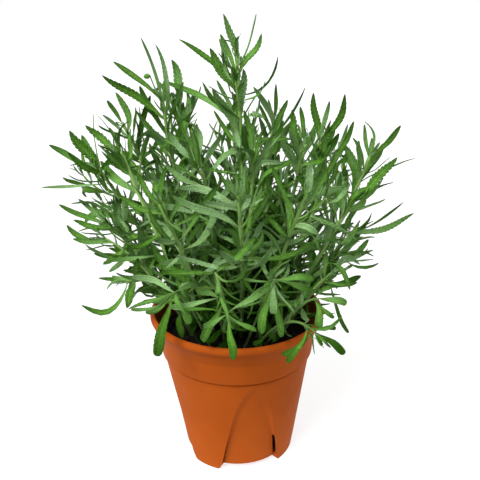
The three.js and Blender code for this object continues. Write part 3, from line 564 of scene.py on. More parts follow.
class StemLine:
    """A stem's line from its start through its middle point to its top."""

    def __init__(self, start, via, top):
        self.bend = Bend(start, 2 * via - 0.5 * start - 0.5 * top, top)
        lean = top - start
        lean[2] = 0
        self.across = np.cross(Z_AXIS, unit(lean))
        points = self.bend.point(np.linspace(0, 1, 60))
        self.length = np.linalg.norm(np.diff(points, axis=0), axis=1).sum()

    def frame_at(self, share):
        tangent = self.bend.tangent(share)
        side = unit(self.across - self.across.dot(tangent) * tangent)
        return self.bend.point(share), tangent, side, np.cross(tangent, side)

    def place_at(self, share):
        """Where a leaf grows: its root, sunk into the stem a little, and the stem's directions there."""
        point, tangent, side, front = self.frame_at(share)
        return point - ROOT_SINK * tangent, tangent, side, front


class Leaf:
    """A leaf's midrib, the direction across its blade, its width, its kind of outline and its paleness and
    shade.
    """

    def __init__(self, root, tip, bow, across, width, kind, paleness_and_shade=0.0):
        self.bend = Bend(root, (root + tip) / 2 + 2 * bow, tip)
        self.across, self.width, self.kind = across, width, kind
        self.tip, self.paleness_and_shade = tip, paleness_and_shade


def placed_choices(line, row):
    """The places that the solids allow for a listed leaf."""
    share, x, z, depth, width, bow, turn = row
    root = line.place_at(share)[0]
    kind = "toothed" if width > TOOTHED_OVER else "plain"
    if depth < BLUNT_WITHIN[0] and z < BLUNT_WITHIN[1]:
        kind = "blunt"
    for move in DEPTH_MOVES:
        tip = as_seen(x, z, depth + move)
        heading = unit(tip - root)
        sight = unit((root + tip) / 2 - EYE)
        left = unit(np.cross(heading, sight))
        away = np.cross(heading, left)
        across = left * math.cos(math.radians(turn)) + away * math.sin(math.radians(turn))
        yield Leaf(root, tip, left * bow, across, width, kind)


def pair_choices(line, stem, leaf, share, size):
    """The places that the solids allow for one leaf of a pair."""
    place = line.place_at(share)
    length = size * (0.8 + 0.3 * draw(stem, leaf, 1)) * (1 - 0.25 * share * share)
    azimuth = 90 * (leaf // 2) + 180 * (leaf % 2) + 45 + centred_draw(stem, leaf, 2, AZIMUTH_DRAW)
    spread = LOW_LEAF_SPREAD - SPREAD_LOSS * share + centred_draw(stem, leaf, 3, SPREAD_DRAW)
    twist = centred_draw(stem, leaf, 4, TWIST_DRAW)
    arch = LEAF_ARCH * (0.4 + draw(stem, leaf, 5))
    kind = "toothed" if draw(stem, leaf, 6) < TOOTHED_SHARE else "plain"
    for scale in (1, SHORTENED):
        reach = length * scale
        size = (reach, reach * LEAF_SLENDERNESS)
        for round_stem, away in SWINGS:
            yield spread_leaf(place, azimuth + round_stem, spread + away, size, arch, twist, kind)


def spread_leaf(place, azimuth, spread, size, arch, twist, kind, paleness_and_shade=0.0):
    """A leaf off a stem, with azimuth and spread in degrees round the stem and away from it."""
    root, tangent, side, front = place
    length, width = size
    outward = side * math.cos(math.radians(azimuth)) + front * math.sin(math.radians(azimuth))
    heading = tangent * math.cos(math.radians(spread)) + outward * math.sin(math.radians(spread))
    upper = unit(np.cross(heading, np.cross(tangent, heading)))
    turn = Matrix.Rotation(math.radians(twist), 3, Vector(heading))
    across = np.array(turn @ Vector(np.cross(upper, heading)))
    return Leaf(root, root + heading * length, -arch * length * upper, across, width, kind, paleness_and_shade)


def all_stems():
    """Each stem's name, line, placed leaves, number of pairs and their size, in the order of the solids."""
    stems = []
    for name, seat, via, top, pairs, size, leaves in STEMS:
        line = StemLine(np.array([*seat, SOIL_LEVEL]), as_seen(*via), as_seen(*top))
        stems.append((name, line, leaves, pairs, size))
    for arc, (name, azimuths, seat, arc_reach, arc_top, pairs, size) in enumerate(FAR_ARCS):
        for i, azimuth in enumerate(azimuths):
            foot = polar(math.radians(azimuth), seat, SOIL_LEVEL)
            reach = arc_reach * (0.9 + 0.2 * draw(arc, i, 7))
            top = arc_top + centred_draw(arc, i, 8, ARC_TOP_DRAW)
            between = ((seat + reach) / 2 - ARC_BOW_IN, (SOIL_LEVEL + top) / 2 + ARC_BOW_UP)
            middle = polar(math.radians(azimuth), *between)
            tip = polar(math.radians(azimuth + centred_draw(arc, i, 9, ARC_AZIMUTH_DRAW)), reach, top)
            stems.append((f"{name}_{i + 1}", StemLine(foot, middle, tip), [], pairs, size))
    return stems


class Sheaf:
    """Collects closed skins into one mesh, with four numbers at each point for the materials."""

    CHANNELS = ("along", "across", "under", "tint")
    LEAF = 0
    STEM = 1

    def __init__(self):
        self.points, self.faces, self.materials, self.channels = [], [], [], []
        self.count = 0

    def add(self, rings, tip, channels, material):
        """Adds the skin over rings (rows, sides, 3) that ends in a point, with channels to fit them."""
        rows, sides = rings.shape[:2]
        channels = np.stack([np.broadcast_to(values, (rows, sides)) for values in channels], axis=-1)
        start = self.count
        self.points.append(rings.reshape(-1, 3))
        self.points.append(tip[None])
        self.channels.append(channels.reshape(-1, 4))
        self.channels.append(channels[-1].mean(axis=0)[None])
        self.count += rows * sides + 1
        here = np.arange(sides)
        beside = (here + 1) % sides
        base = start + sides * np.arange(rows - 1)[:, None]
        quads = np.stack([base + here, base + beside, base + beside + sides, base + here + sides], axis=-1)
        last = start + sides * (rows - 1)
        self.faces.append((start + here[::-1]).tolist())
        self.faces.extend(quads.reshape(-1, 4).tolist())
        self.faces.extend([last + a, last + b, self.count - 1] for a, b in zip(here, beside))
        self.materials.append(np.full(1 + (rows - 1) * sides + sides, material, dtype=np.int32))

    def build(self, name, materials):
        plant = new_object(name, np.concatenate(self.points), self.faces, materials, PLANT_SHARP_ANGLE)
        plant.data.polygons.foreach_set("material_index", np.concatenate(self.materials))
        values = np.concatenate(self.channels)
        for i, channel in enumerate(self.CHANNELS):
            attribute = plant.data.attributes.new(channel, "FLOAT", "POINT")
            attribute.data.foreach_set("value", values[:, i].astype(np.float32))
        return plant


def leaf_tint_and_shade(leaf, points, chance):
    """How pale a leaf is: by chance, with painted light in front and painted shade low, at the pot, inside
    and far out.
    """
    x, y, z = leaf.tip
    low = progress(z, *LOW_CROWN)
    in_front = progress(y, *FRONT_CROWN) * (1 - LOW_CROWN_SHADE * low)
    if math.hypot(x, y) < RIM_TOP[0]:
        shade_at_foot = OVER_POT_PAINTED_SHADE * progress(z, *FOOT_OVER_POT)
    else:
        shade_at_foot = BESIDE_POT_PAINTED_SHADE * progress(z, *FOOT_BESIDE_POT)
    # Painted shade deep inside the crown and far out, by how far out a point lies
    outward = np.linalg.norm((points - CROWN_FOOT) / CROWN_REACH, axis=-1)
    inside = INSIDE_PAINTED_SHADE * progress(outward, *CROWN_INSIDE)
    outside = OUTSIDE_PAINTED_SHADE * progress(outward, *CROWN_OUTSIDE)
    whole = (1 - LOW_CROWN_EVENNESS * low) * chance + FRONT_PAINTED_LIGHT * in_front - LOW_CROWN_PAINTED_SHADE * low
    return np.clip(whole + TINT_LEVEL + leaf.paleness_and_shade - shade_at_foot - inside - outside, *TINT_RANGE)


def leaf_rows(kind, length):
    """Places of the rows along a blade, and at each how deep the edge is cut, from 0 to 1."""
    if kind == "plain":
        count = max(FEWEST_PLAIN_ROWS, int(length / PLAIN_ROW_STEP))
        rows = 0.5 - 0.5 * np.cos(np.linspace(0, 1, count + 1)[:-1] * math.pi)
        return rows, np.zeros(len(rows))
    start = TEETH_FROM[kind]
    toothed = TEETH_TO - start
    teeth = max(3, round(toothed * length / TOOTH_LENGTH))
    low = np.linspace(0, start, 6)[:-1]
    marks = start + toothed * (np.arange(teeth)[:, None] + TOOTH_MARKS) / teeth
    rows = np.concatenate([low, marks.ravel(), [TEETH_TO + 0.01, 0.988]])
    return rows, np.concatenate([np.zeros(len(low)), np.tile(TOOTH_CUTS, teeth), [0.5, 0.0]])


def add_leaf(sheaf, leaf, stem, number, columns=LEAF_COLUMNS):
    """Adds a leaf's fine blade: folded along its midrib, twisted a little, with thin and toothed edges."""
    length = np.linalg.norm(leaf.tip - leaf.bend.start)
    rows, cuts = leaf_rows(leaf.kind, length)
    rise, fall = OUTLINES[leaf.kind]
    peak = rise / (rise + fall)
    widest = leaf.width / 2 * LEAF_WIDENING * (1 - leaf.tip[1] / EYE[1])
    half = widest * np.maximum((rows / peak) ** rise * ((1 - rows) / (1 - peak)) ** fall, NARROWEST_SHARE)
    tangents = leaf.bend.tangent(rows)
    wave = 4 * rows * (1 - rows) * np.sin(5 * rows + 6.3 * draw(stem, number, 38))
    sway = LEAF_SWAY * length * wave[:, None]
    points = leaf.bend.point(rows) + sway * unit(leaf.across + 0.8 * np.cross(tangents[0], leaf.across))
    side = leaf.across - (tangents @ leaf.across)[:, None] * tangents
    side /= np.linalg.norm(side, axis=1, keepdims=True)
    normal = np.cross(tangents, side)
    twist = math.radians(centred_draw(stem, number, 31, LEAF_TWIST)) * rows
    side, normal = (
        side * np.cos(twist)[:, None] + normal * np.sin(twist)[:, None],
        normal * np.cos(twist)[:, None] - side * np.sin(twist)[:, None],
    )
    columns = np.array(columns)
    edge = progress(np.abs(columns), 0.6, 1)
    depth = TOOTH_DEPTH[leaf.kind] * (0.5 + draw(stem, number, 32))
    spread = columns * half[:, None] * (1 - depth * cuts[:, None] * edge)
    fold = LEAF_FOLD[0] + LEAF_FOLD[1] * draw(stem, number, 33)
    roll = LEAF_ROLL[0] + LEAF_ROLL[1] * draw(stem, number, 34)
    ripple = LEAF_RIPPLE * np.sin(9 * rows + 6.3 * draw(stem, number, 35))[:, None]
    ripple = ripple * np.sign(columns) * columns ** 2
    upper = widest * ((fold * np.abs(columns) - roll * columns ** 4 + ripple) * (half / widest)[:, None])
    body = np.sqrt(np.clip(1 - columns ** 2, 0, 1)) * (0.55 + 0.45 * (np.abs(columns) < 0.1))
    thick = LEAF_THICKNESS * np.minimum(widest / 2, 1) * body * (1 - 0.5 * rows)[:, None] + LEAF_EDGE
    lower = upper - thick
    inner = slice(-2, 0, -1)
    spread = np.concatenate([spread, spread[:, inner]], axis=1)
    lift = np.concatenate([upper, lower[:, inner]], axis=1)
    rings = points[:, None] + side[:, None] * spread[..., None] + normal[:, None] * lift[..., None]
    across = np.concatenate([columns, columns[inner]])
    under = np.arange(len(across)) >= len(columns)
    # The tint carries the leaf's own tone and its painted light and shade
    tint = leaf_tint_and_shade(leaf, points, draw(stem, number, 36))
    channels = (rows[:, None], across, under, tint[:, None])
    sheaf.add(rings, leaf.bend.point(1.0), channels, sheaf.LEAF)


def add_stem(sheaf, line, stem, foot_radius, tip_radius, sink=0.0):
    """Adds a stem: square, with shallow grooves down its sides, and a little thicker at each joint."""
    shares = np.concatenate([[-1], np.linspace(0, 1, int(line.length / STEM_RING_STEP) + 2)])
    corner = np.arange(STEM_SIDES) % 2 == 0
    groove = np.where(corner, 1.0, STEM_GROOVE)
    rings = []
    for share in shares:
        point, tangent, side, front = line.frame_at(max(share, 0))
        if share < 0:
            point = point - tangent * sink
        joint = (max(share, 0) * line.length - FIRST_JOINT) / JOINT_STEP
        swelling = 1 + JOINT_SWELLING * max(0, 1 - 5 * abs(joint - round(joint)))
        radius = (foot_radius + (tip_radius - foot_radius) * max(share, 0)) * swelling
        rings.append(point + radius * groove[:, None] * circle(side, front, STEM_SIDES))
    along = np.maximum(shares, 0)[:, None] if sink else 0.6
    tint = (0.3 + 0.7 * draw(stem, 0, 37)) * progress(line.bend.end[2], *STEM_PALING)
    end = line.bend.point(1.0) + line.bend.tangent(1.0) * tip_radius
    sheaf.add(np.array(rings), end, (along, corner, 0.0, tint), sheaf.STEM)


def soil_top(x, y):
    lumps = SOIL_LUMP * math.sin(0.21 * x + 1.3) * math.cos(0.17 * y + 0.4)
    return SOIL_LEVEL + lumps + 0.6 * math.sin(0.5 * (x + y))


def is_clear(bend):
    """True if a leaf or side shoot keeps off the soil, the rim and the bare places, and in the CAD's box."""
    low, high = np.array(cad_box[0]) / MM, np.array(cad_box[1]) / MM
    points = bend.point(np.linspace(0.1, 1.0, 10))
    radius, height = np.hypot(points[:, 0], points[:, 1]), points[:, 2]
    in_wall = (radius > RIM_TOP[0] - POT_WALL - RIM_ROOM) & (height < RIM_TOP[1] + RIM_ROOM)
    in_soil = (radius < RIM_TOP[0]) & (height < SOIL_LEVEL + SOIL_ROOM)
    seen = EYE + (points - EYE) * (EYE[1] / (EYE[1] - points[:, 1]))[:, None]
    in_view = any(
        ((seen[:, 0] > left) & (seen[:, 0] < right) & (seen[:, 2] > bottom) & (seen[:, 2] < top)).any()
        for left, right, bottom, top in BARE_PLACES)
    return not ((in_wall | in_soil).any() or in_view) and (points > low).all() and (points < high).all()


def small_leaf(line, stem, number, share, azimuth, spread, reach, paleness_and_shade=JOINT_SHADED_PALENESS):
    """A small leaf at a joint, swung round its stem until it is clear, or None."""
    place = line.place_at(share)
    arch = centred_draw(stem, number, 41, SMALL_ARCH_DRAW)
    twist = centred_draw(stem, number, 42, SMALL_TWIST_DRAW)
    toothed = draw(stem, number, 43) < SMALL_TOOTHED_SHARE and reach > SMALLEST_TOOTHED
    kind = "toothed" if toothed else "plain"
    width = reach * SMALL_SLENDERNESS * (0.8 + 0.5 * draw(stem, number, 44))
    for round_stem, shorter in SMALL_SWINGS:
        size = (reach * shorter, width * shorter)
        leaf = spread_leaf(place, azimuth + round_stem, spread, size, arch, twist, kind, paleness_and_shade)
        if is_clear(leaf.bend):
            return leaf
    return None


def joint_leaves(line, stem, number, step, size):
    """The numbered small leaves of a stem: pairs at its joints, one in each axil, and those at its tip."""
    for joint in range(int((line.length - FIRST_JOINT) / step) + 1):
        share = (FIRST_JOINT + joint * step) / line.length
        for face in (0, 180):
            number += 2
            azimuth = 90 * (joint % 2) + face + 45 + centred_draw(stem, number, 51, JOINT_DRAW)
            spread = JOINT_SPREAD - JOINT_SPREAD_LOSS * share + centred_draw(stem, number, 52, JOINT_DRAW)
            reach = size * (1 - JOINT_LEAF_LOSS * share * share) * (0.6 + 0.6 * draw(stem, number, 53))
            yield number, small_leaf(line, stem, number, share, azimuth, spread, reach)
            azimuth += centred_draw(stem, number, 54, AXIL_DRAW)
            reach *= AXIL_LEAF * (0.6 + 0.8 * draw(stem, number, 56))
            spread *= AXIL_SPREAD
            yield number + 1, small_leaf(line, stem, number + 1, share, azimuth, spread, reach)
    for i in range(TIP_LEAVES):
        number += 2
        spread = 14 + 12 * (i % 2)
        reach = TIP_LEAF * (0.7 + 0.6 * draw(stem, number, 57))
        yield number, small_leaf(line, stem, number, 1.0, 90 * i + 45, spread, reach, TIP_PALENESS)


def low_leaves(line, stem):
    """Leaves all round a stem's lower part, where the crown is densest."""
    foot, top = line.bend.start[2], line.bend.end[2]
    for i, height in enumerate(np.linspace(*LOW_LEAF_HEIGHTS, LOW_LEAVES)):
        share = (height - foot) / (top - foot)
        number = LOW_NUMBER + i
        if 0 < share < LOW_LEAVES_UP_TO:
            azimuth = GOLDEN_ANGLE * i + 360 * draw(stem, 0, 61)
            spread = 46 + 36 * draw(stem, number, 62)
            reach = LOW_LEAF * (0.65 + 0.6 * draw(stem, number, 63))
            yield number, small_leaf(line, stem, number, share, azimuth, spread, reach, LOW_PALENESS)


def side_shoots(line, stem):
    """Short branches that leave a stem all round it and turn upwards."""
    in_front = line.bend.end[1] < FRONT_DEPTH
    count = SIDE_SHOOTS_IN_FRONT if in_front else SIDE_SHOOTS
    for i, share in enumerate(np.linspace(SIDE_SHOOT_FIRST, SIDE_SHOOT_LAST, count)):
        point, tangent, side, front = line.frame_at(share)
        azimuth = math.radians(GOLDEN_ANGLE * i + 360 * draw(stem, i, 71))
        outward = side * math.cos(azimuth) + front * math.sin(azimuth)
        heading = unit(tangent + SIDE_SHOOT_LEAN * outward)
        reach = SIDE_SHOOT_LENGTH * (1.1 - 0.5 * share) * (0.7 + 0.6 * draw(stem, i, 72))
        top = point + reach * unit(heading + SIDE_SHOOT_RISE * Z_AXIS)
        middle = (point + top) / 2 + SIDE_SHOOT_BOW * reach * (heading - Z_AXIS)
        shoot = StemLine(point, middle, top)
        if is_clear(shoot.bend):
            yield i, shoot


def add_bud(sheaf, line, stem):
    """Adds the flower bud: its stalk with two small bracts, and its egg-shaped body."""
    neck, tip = as_seen(*BUD_NECK), as_seen(*BUD_TIP)
    stalk = StemLine(line.bend.point(0.97), as_seen(*BUD_NODE), neck)
    add_stem(sheaf, stalk, stem, *BUD_STALK_RADII)
    for i, azimuth in enumerate(BRACT_AZIMUTHS):
        place = stalk.frame_at(BRACT_PLACE)
        bract = spread_leaf(place, azimuth, BRACT_SPREAD, BRACT_SIZE, BRACT_ARCH, 0.0, "plain")
        add_leaf(sheaf, bract, stem, BRACT_NUMBER + i, SMALL_LEAF_COLUMNS)
    axis = unit(tip - neck)
    side = unit(np.cross(axis, Z_AXIS))
    swelling = np.sqrt(np.clip(1 - (2 * BUD_ROWS ** 0.85 - 1) ** 2, 0.04, 1))
    middles = neck + (tip - neck) * BUD_ROWS[:, None, None]
    rings = middles + BUD_RADIUS * swelling[:, None, None] * circle(side, np.cross(axis, side), BUD_SIDES)
    across = np.where(np.arange(BUD_SIDES) % 2 == 0, 0.7, 0.2)
    sheaf.add(rings, tip, (0.15 + 0.4 * BUD_ROWS[:, None], across, 0.0, 0.5), sheaf.LEAF)


def grown_in(node):
    """A function that picks from a leaf's choices the one whose tip is a point of the CAD node."""
    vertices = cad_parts[node].data.vertices
    tree = kdtree.KDTree(len(vertices))
    for i, vertex in enumerate(vertices):
        tree.insert(vertex.co / MM, i)
    tree.balance()

    def chosen(choices):
        for leaf in choices:
            if tree.find(Vector(leaf.tip))[2] < SAME_PLACE:
                return leaf
        return None

    return chosen


def on_cone(z):
    return FOOT_RADIUS + (BODY_TOP[0] - FOOT_RADIUS) * np.maximum(z, 0) / BODY_TOP[1]


def arch_fade(z):
    return np.maximum(1 - np.maximum(z, 0) / ARCH_HEIGHT, 0)


def arch_half_width(z):
    return ARCH_HALF_WIDTH * arch_fade(z) ** ARCH_ROUNDNESS


def column_angles(z, widened=0.0):
    """Angles of the columns from a panel's middle at height z to the middle of the foot beside it."""
    half = (max(float(arch_half_width(z)), NARROWEST_ARCH) + widened) / on_cone(z)
    return np.interp(HALF_COLUMNS, [0, 1, 2], [0, half, math.pi / len(PANEL_AZIMUTHS)])


def pot_ring(angles, radius, height):
    """A whole ring, from angles, radii and heights given from a panel's middle to a foot's middle."""
    radius = np.broadcast_to(radius, angles.shape)
    height = np.broadcast_to(height, angles.shape)
    ring = []
    for middle in PANEL_AZIMUTHS:
        for sign in (-1, 1):
            order = slice(None, 0, -1) if sign < 0 else slice(0, -1)
            azimuths = math.radians(middle) + sign * angles[order]
            r, z = radius[order], height[order]
            ring.append(np.stack([r * np.sin(azimuths), -r * np.cos(azimuths), z], axis=-1))
    return np.concatenate(ring)


def wall_ring(z, inward=0.0, lifted=False):
    """A ring of the pot's body at height z, on its outer face or a wall's thickness inside it."""
    angles = column_angles(z, inward)
    heights = np.full(len(angles), z)
    if lifted:
        heights = np.maximum(heights, bottom_edge(angles))
    inside = arch_half_width(heights) + inward - angles * on_cone(heights)
    recess = panel_recess(inside, heights)
    if not inward:
        beside_panel = (HALF_COLUMNS > SLOT_COLUMNS[0]) & (HALF_COLUMNS < SLOT_COLUMNS[1])
        recess += SLOT_NOTCH * (heights < FLOOR_TOP) * beside_panel
    return pot_ring(angles, on_cone(heights) - recess - inward, heights)


def panel_recess(inside, z):
    """How deep the wall is pressed in, at a distance inside an arch: crisply low down, softly at its top."""
    width = STEP_WIDTH_LOW + (STEP_WIDTH_HIGH - STEP_WIDTH_LOW) * progress(z, SLOT_TOP, ARCH_HEIGHT)
    share = progress(inside, 0, width)
    crisp = 1 - (1 - share) ** 2
    softness = smooth_step(progress(z, CRISP_HEIGHT, ARCH_HEIGHT))
    return PANEL_DEPTH * arch_fade(z) ** PANEL_DEPTH_FADE * (crisp + (smooth_step(share) - crisp) * softness)


def bottom_edge(angles):
    """How high the bottom edge stands: 0 under the feet, with rounded corners, and more under the panels."""
    outside = angles * FOOT_RADIUS - ARCH_HALF_WIDTH
    rounding = 1 - np.sqrt(np.clip(1 - (1 - progress(outside, 0, FOOT_CORNER)) ** 2, 0, 1))
    return FLOOR_UNDERSIDE * rounding


def filleted(profile, radius=POT_FILLET, steps=4):
    """A profile with each of its inner corners rounded off."""
    points = [np.array(p, dtype=float) for p in profile]
    out = [points[0]]
    for before, corner, after in zip(points, points[1:], points[2:]):
        reach = min(radius, 0.45 * np.linalg.norm(before - corner), 0.45 * np.linalg.norm(after - corner))
        a = corner + unit(before - corner) * reach
        b = corner + unit(after - corner) * reach
        for share in np.linspace(0, 1, steps):
            out.append((1 - share) ** 2 * a + 2 * share * (1 - share) * corner + share ** 2 * b)
    out.append(points[-1])
    return out


def pot_profile():
    """The pot's upper part in section, from the wall's outside over the rim to its inside."""
    groove = BODY_TOP[0] - BAND_GROOVE
    return filleted([
        (on_cone(OUTER_WALL_TOP), OUTER_WALL_TOP), (groove, BODY_TOP[1]), (groove, BAND_BOTTOM[1] - 0.5),
        BAND_BOTTOM, BAND_TOP, FLARE_TOP, (BEAD_EDGE, FLARE_TOP[1] + 0.5), BEAD,
        (BEAD_EDGE, RIM_TOP[1] - 0.8), RIM_TOP, (RIM_TOP[0] - POT_WALL + 0.4, RIM_TOP[1]),
        (FLARE_TOP[0] - POT_WALL, FLARE_TOP[1] + 1),
        (BAND_TOP[0] - POT_WALL, BAND_TOP[1]), (BAND_BOTTOM[0] - POT_WALL, BAND_BOTTOM[1] + 0.6),
        (BODY_TOP[0] - POT_WALL, BODY_TOP[1] - 1), (on_cone(INNER_WALL_TOP) - POT_WALL, INNER_WALL_TOP),
    ])


def make_pot(material):
    """The pot's one wall, from the middle of its underside over the rim to the middle of its floor."""
    flat = column_angles(0.0)
    edge = bottom_edge(flat)
    underside = FOOT_RADIUS - FOOT_WIDTH
    rings = [
        pot_ring(flat, underside * 0.5, FLOOR_UNDERSIDE),
        pot_ring(flat, underside - 1, FLOOR_UNDERSIDE),
        pot_ring(flat, underside - 0.4, np.minimum(edge + 0.5, FLOOR_UNDERSIDE)),
        pot_ring(flat, underside, edge),
    ]
    first_wall = len(rings)
    rings += [wall_ring(z, lifted=z < FLOOR_TOP) for z in BODY_ROWS]
    rings += [pot_ring(column_angles(OUTER_WALL_TOP), r, z) for r, z in pot_profile()]
    inner_rows = BODY_ROWS[BODY_ROWS >= FLOOR_TOP][::-1]
    first_inner = len(rings)
    rings += [wall_ring(z, inward=POT_WALL) for z in inner_rows]
    rings.append(pot_ring(flat, FLOOR_RING_RADIUS, FLOOR_TOP))
    sides = len(rings[0])
    last = len(rings) - 1

    def in_slot(row, column):
        """True where a cell of the wall lies in a drain slot, seen from outside or from inside."""
        half = HALF_COLUMNS.size - 1
        place = column % (2 * half)
        near = half - 1 - place if place < half else place - half
        middle = (HALF_COLUMNS[near] + HALF_COLUMNS[near + 1]) / 2
        if first_wall <= row < first_wall + len(BODY_ROWS) - 1:
            low = BODY_ROWS[row - first_wall]
        elif first_inner <= row < first_inner + len(inner_rows) - 1:
            low = inner_rows[row - first_inner + 1]
        else:
            return False
        return SLOT_COLUMNS[0] < middle < SLOT_COLUMNS[1] and FLOOR_TOP - 0.1 < low < SLOT_TOP - 1

    points = np.concatenate(rings + [[[0, 0, FLOOR_UNDERSIDE], [0, 0, FLOOR_TOP]]])
    faces = []
    for row in range(last):
        for column in range(sides):
            a = row * sides + column
            b = row * sides + (column + 1) % sides
            if not in_slot(row, column):
                faces.append((a, b, b + sides, a + sides))
    bottom_point, floor_point = len(points) - 2, len(points) - 1
    for column in range(sides):
        beside = (column + 1) % sides
        faces.append((beside, column, bottom_point))
        faces.append((last * sides + column, last * sides + beside, floor_point))
    faces += slot_sides(sides, first_wall, first_inner, inner_rows, in_slot)
    return new_object("pot_shell", points, faces, [material], POT_SHARP_ANGLE)


def slot_sides(sides, first_wall, first_inner, inner_rows, in_slot):
    """The faces through the wall round each drain slot."""

    def inner_of(row):
        height = BODY_ROWS[row - first_wall]
        return first_inner + int(np.argmin(np.abs(inner_rows - height)))

    faces = []
    for row in range(first_wall, first_wall + len(BODY_ROWS) - 1):
        for column in range(sides):
            if not in_slot(row, column):
                continue
            beside = (column + 1) % sides
            low, high = row * sides, (row + 1) * sides
            low_in, high_in = inner_of(row) * sides, inner_of(row + 1) * sides
            if not in_slot(row, (column - 1) % sides):
                faces.append((low + column, high + column, high_in + column, low_in + column))
            if not in_slot(row, beside):
                faces.append((high + beside, low + beside, low_in + beside, high_in + beside))
            if not in_slot(row - 1, column):
                faces.append((low + beside, low + column, low_in + column, low_in + beside))
            if not in_slot(row + 1, column):
                faces.append((high + column, high + beside, high_in + beside, high_in + column))
    return faces


def make_soil(material):
    """The soil: a crumbly top inside the rim, its hidden sides, and loose clods lying on it."""
    azimuths = np.arange(SOIL_COLUMNS) * 2 * math.pi / SOIL_COLUMNS
    points, faces = [], []
    for ring in range(SOIL_RINGS):
        radius = SOIL_RADIUS * (ring + 1) / SOIL_RINGS
        for azimuth in azimuths:
            x, y, _ = polar(azimuth, radius, 0)
            grit = noise.fractal(Vector((x * 0.32, y * 0.32, 3.1)), 0.7, 2.1, 4)
            points.append((x, y, soil_top(x, y) + SOIL_GRIT * grit))
    for radius, height in SOIL_SIDES:
        points += [polar(azimuth, radius, height) for azimuth in azimuths]
    last_ring = SOIL_RINGS + len(SOIL_SIDES) - 1
    for ring in range(last_ring):
        for i in range(SOIL_COLUMNS):
            a = ring * SOIL_COLUMNS + i
            b = ring * SOIL_COLUMNS + (i + 1) % SOIL_COLUMNS
            faces.append((a + SOIL_COLUMNS, b + SOIL_COLUMNS, b, a))
    centre, under = len(points), len(points) + 1
    points += [(0, 0, soil_top(0, 0)), (0, 0, SOIL_SIDES[-1][1])]
    last = last_ring * SOIL_COLUMNS
    for i in range(SOIL_COLUMNS):
        beside = (i + 1) % SOIL_COLUMNS
        faces.append((beside, centre, i))
        faces.append((last + i, under, last + beside))
    for i in range(CLODS):
        add_clod(points, faces, i)
    return new_object("soil_crumbs", points, faces, [material])


def add_clod(points, faces, number):
    """A small irregular lump of soil, half sunk in the top."""
    size = 0.6 + 1.5 * draw(number, 1, 61) ** 2
    from_middle = (SOIL_RADIUS - 3) * math.sqrt(draw(number, 3, 63))
    x, y, _ = polar(2 * math.pi * draw(number, 2, 62), from_middle, 0)
    centre = Vector((x, y, soil_top(x, y) + 0.35 * size))
    start = len(points)
    for belt in range(1, CLOD_BELTS):
        tilt = math.pi * belt / CLOD_BELTS
        for i in range(CLOD_SIDES):
            turn = 2 * math.pi * i / CLOD_SIDES
            way = Vector((math.sin(tilt) * math.cos(turn), math.sin(tilt) * math.sin(turn), math.cos(tilt)))
            lump = 1 + 0.6 * noise.noise(way * 1.3 + Vector((number, 0, 0)))
            points.append(centre + way * size * lump)
    top, bottom = len(points), len(points) + 1
    points += [centre + Vector((0, 0, size)), centre - Vector((0, 0, size))]
    low = start + (CLOD_BELTS - 2) * CLOD_SIDES
    for i in range(CLOD_SIDES):
        beside = (i + 1) % CLOD_SIDES
        faces.append((start + i, start + beside, top))
        faces.append((low + beside, low + i, bottom))
        for belt in range(CLOD_BELTS - 2):
            a = start + belt * CLOD_SIDES
            faces.append((a + i, a + CLOD_SIDES + i, a + CLOD_SIDES + beside, a + beside))


class Nodes:
    """A short way to write a material's nodes."""

    def __init__(self, name):
        self.material = bpy.data.materials.new(name)
        self.material.use_nodes = True
        self.tree = self.material.node_tree
        self.shader = self.tree.nodes["Principled BSDF"]
        self.place = self.add("ShaderNodeTexCoord").outputs["Object"]

    def add(self, kind, **values):
        node = self.tree.nodes.new(kind)
        for key, value in values.items():
            if key in node.inputs:
                self.feed(node.inputs[key], value)
            else:
                setattr(node, key, value)
        return node

    def feed(self, socket, value):
        if isinstance(value, bpy.types.NodeSocket):
            self.tree.links.new(value, socket)
        else:
            socket.default_value = value

    def attribute(self, name):
        return self.add("ShaderNodeAttribute", attribute_name=name).outputs["Fac"]

    def noise(self, scale, detail=3.0, roughness=0.55):
        grain = {"Scale": scale, "Detail": detail, "Roughness": roughness}
        return self.add("ShaderNodeTexNoise", Vector=self.place, **grain).outputs["Fac"]

    def math(self, operation, a, b=0.0):
        node = self.add("ShaderNodeMath", operation=operation)
        self.feed(node.inputs[0], a)
        self.feed(node.inputs[1], b)
        return node.outputs["Value"]

    def times(self, a, b):
        return self.math("MULTIPLY", a, b)

    def plus(self, a, b):
        return self.math("ADD", a, b)

    def remap(self, value, low, high, to_low=0.0, to_high=1.0):
        node = self.add("ShaderNodeMapRange")
        self.feed(node.inputs["Value"], value)
        limits = {"From Min": low, "From Max": high, "To Min": to_low, "To Max": to_high}
        for name, number in limits.items():
            node.inputs[name].default_value = number
        return node.outputs["Result"]

    def blend(self, share, a, b):
        node = self.add("ShaderNodeMix", data_type="RGBA")
        self.feed(node.inputs["Factor"], share)
        for name, value in (("A", a), ("B", b)):
            self.feed(next(s for s in node.inputs if s.name == name and s.type == "RGBA"), value)
        return next(s for s in node.outputs if s.type == "RGBA")

    def bump(self, height, strength, distance):
        node = self.add("ShaderNodeBump", Strength=strength, Distance=distance, Height=height)
        self.feed(self.shader.inputs["Normal"], node.outputs["Normal"])

    def set(self, **values):
        for key, value in values.items():
            self.feed(self.shader.inputs[key.replace("_", " ")], value)


def colour(red, green, blue):
    """A colour given as 0 to 255 on a screen, as linear light."""
    linear = [((c / 255 + 0.055) / 1.055) ** 2.4 if c > 10 else c / 255 / 12.92 for c in (red, green, blue)]
    return (*linear, 1.0)


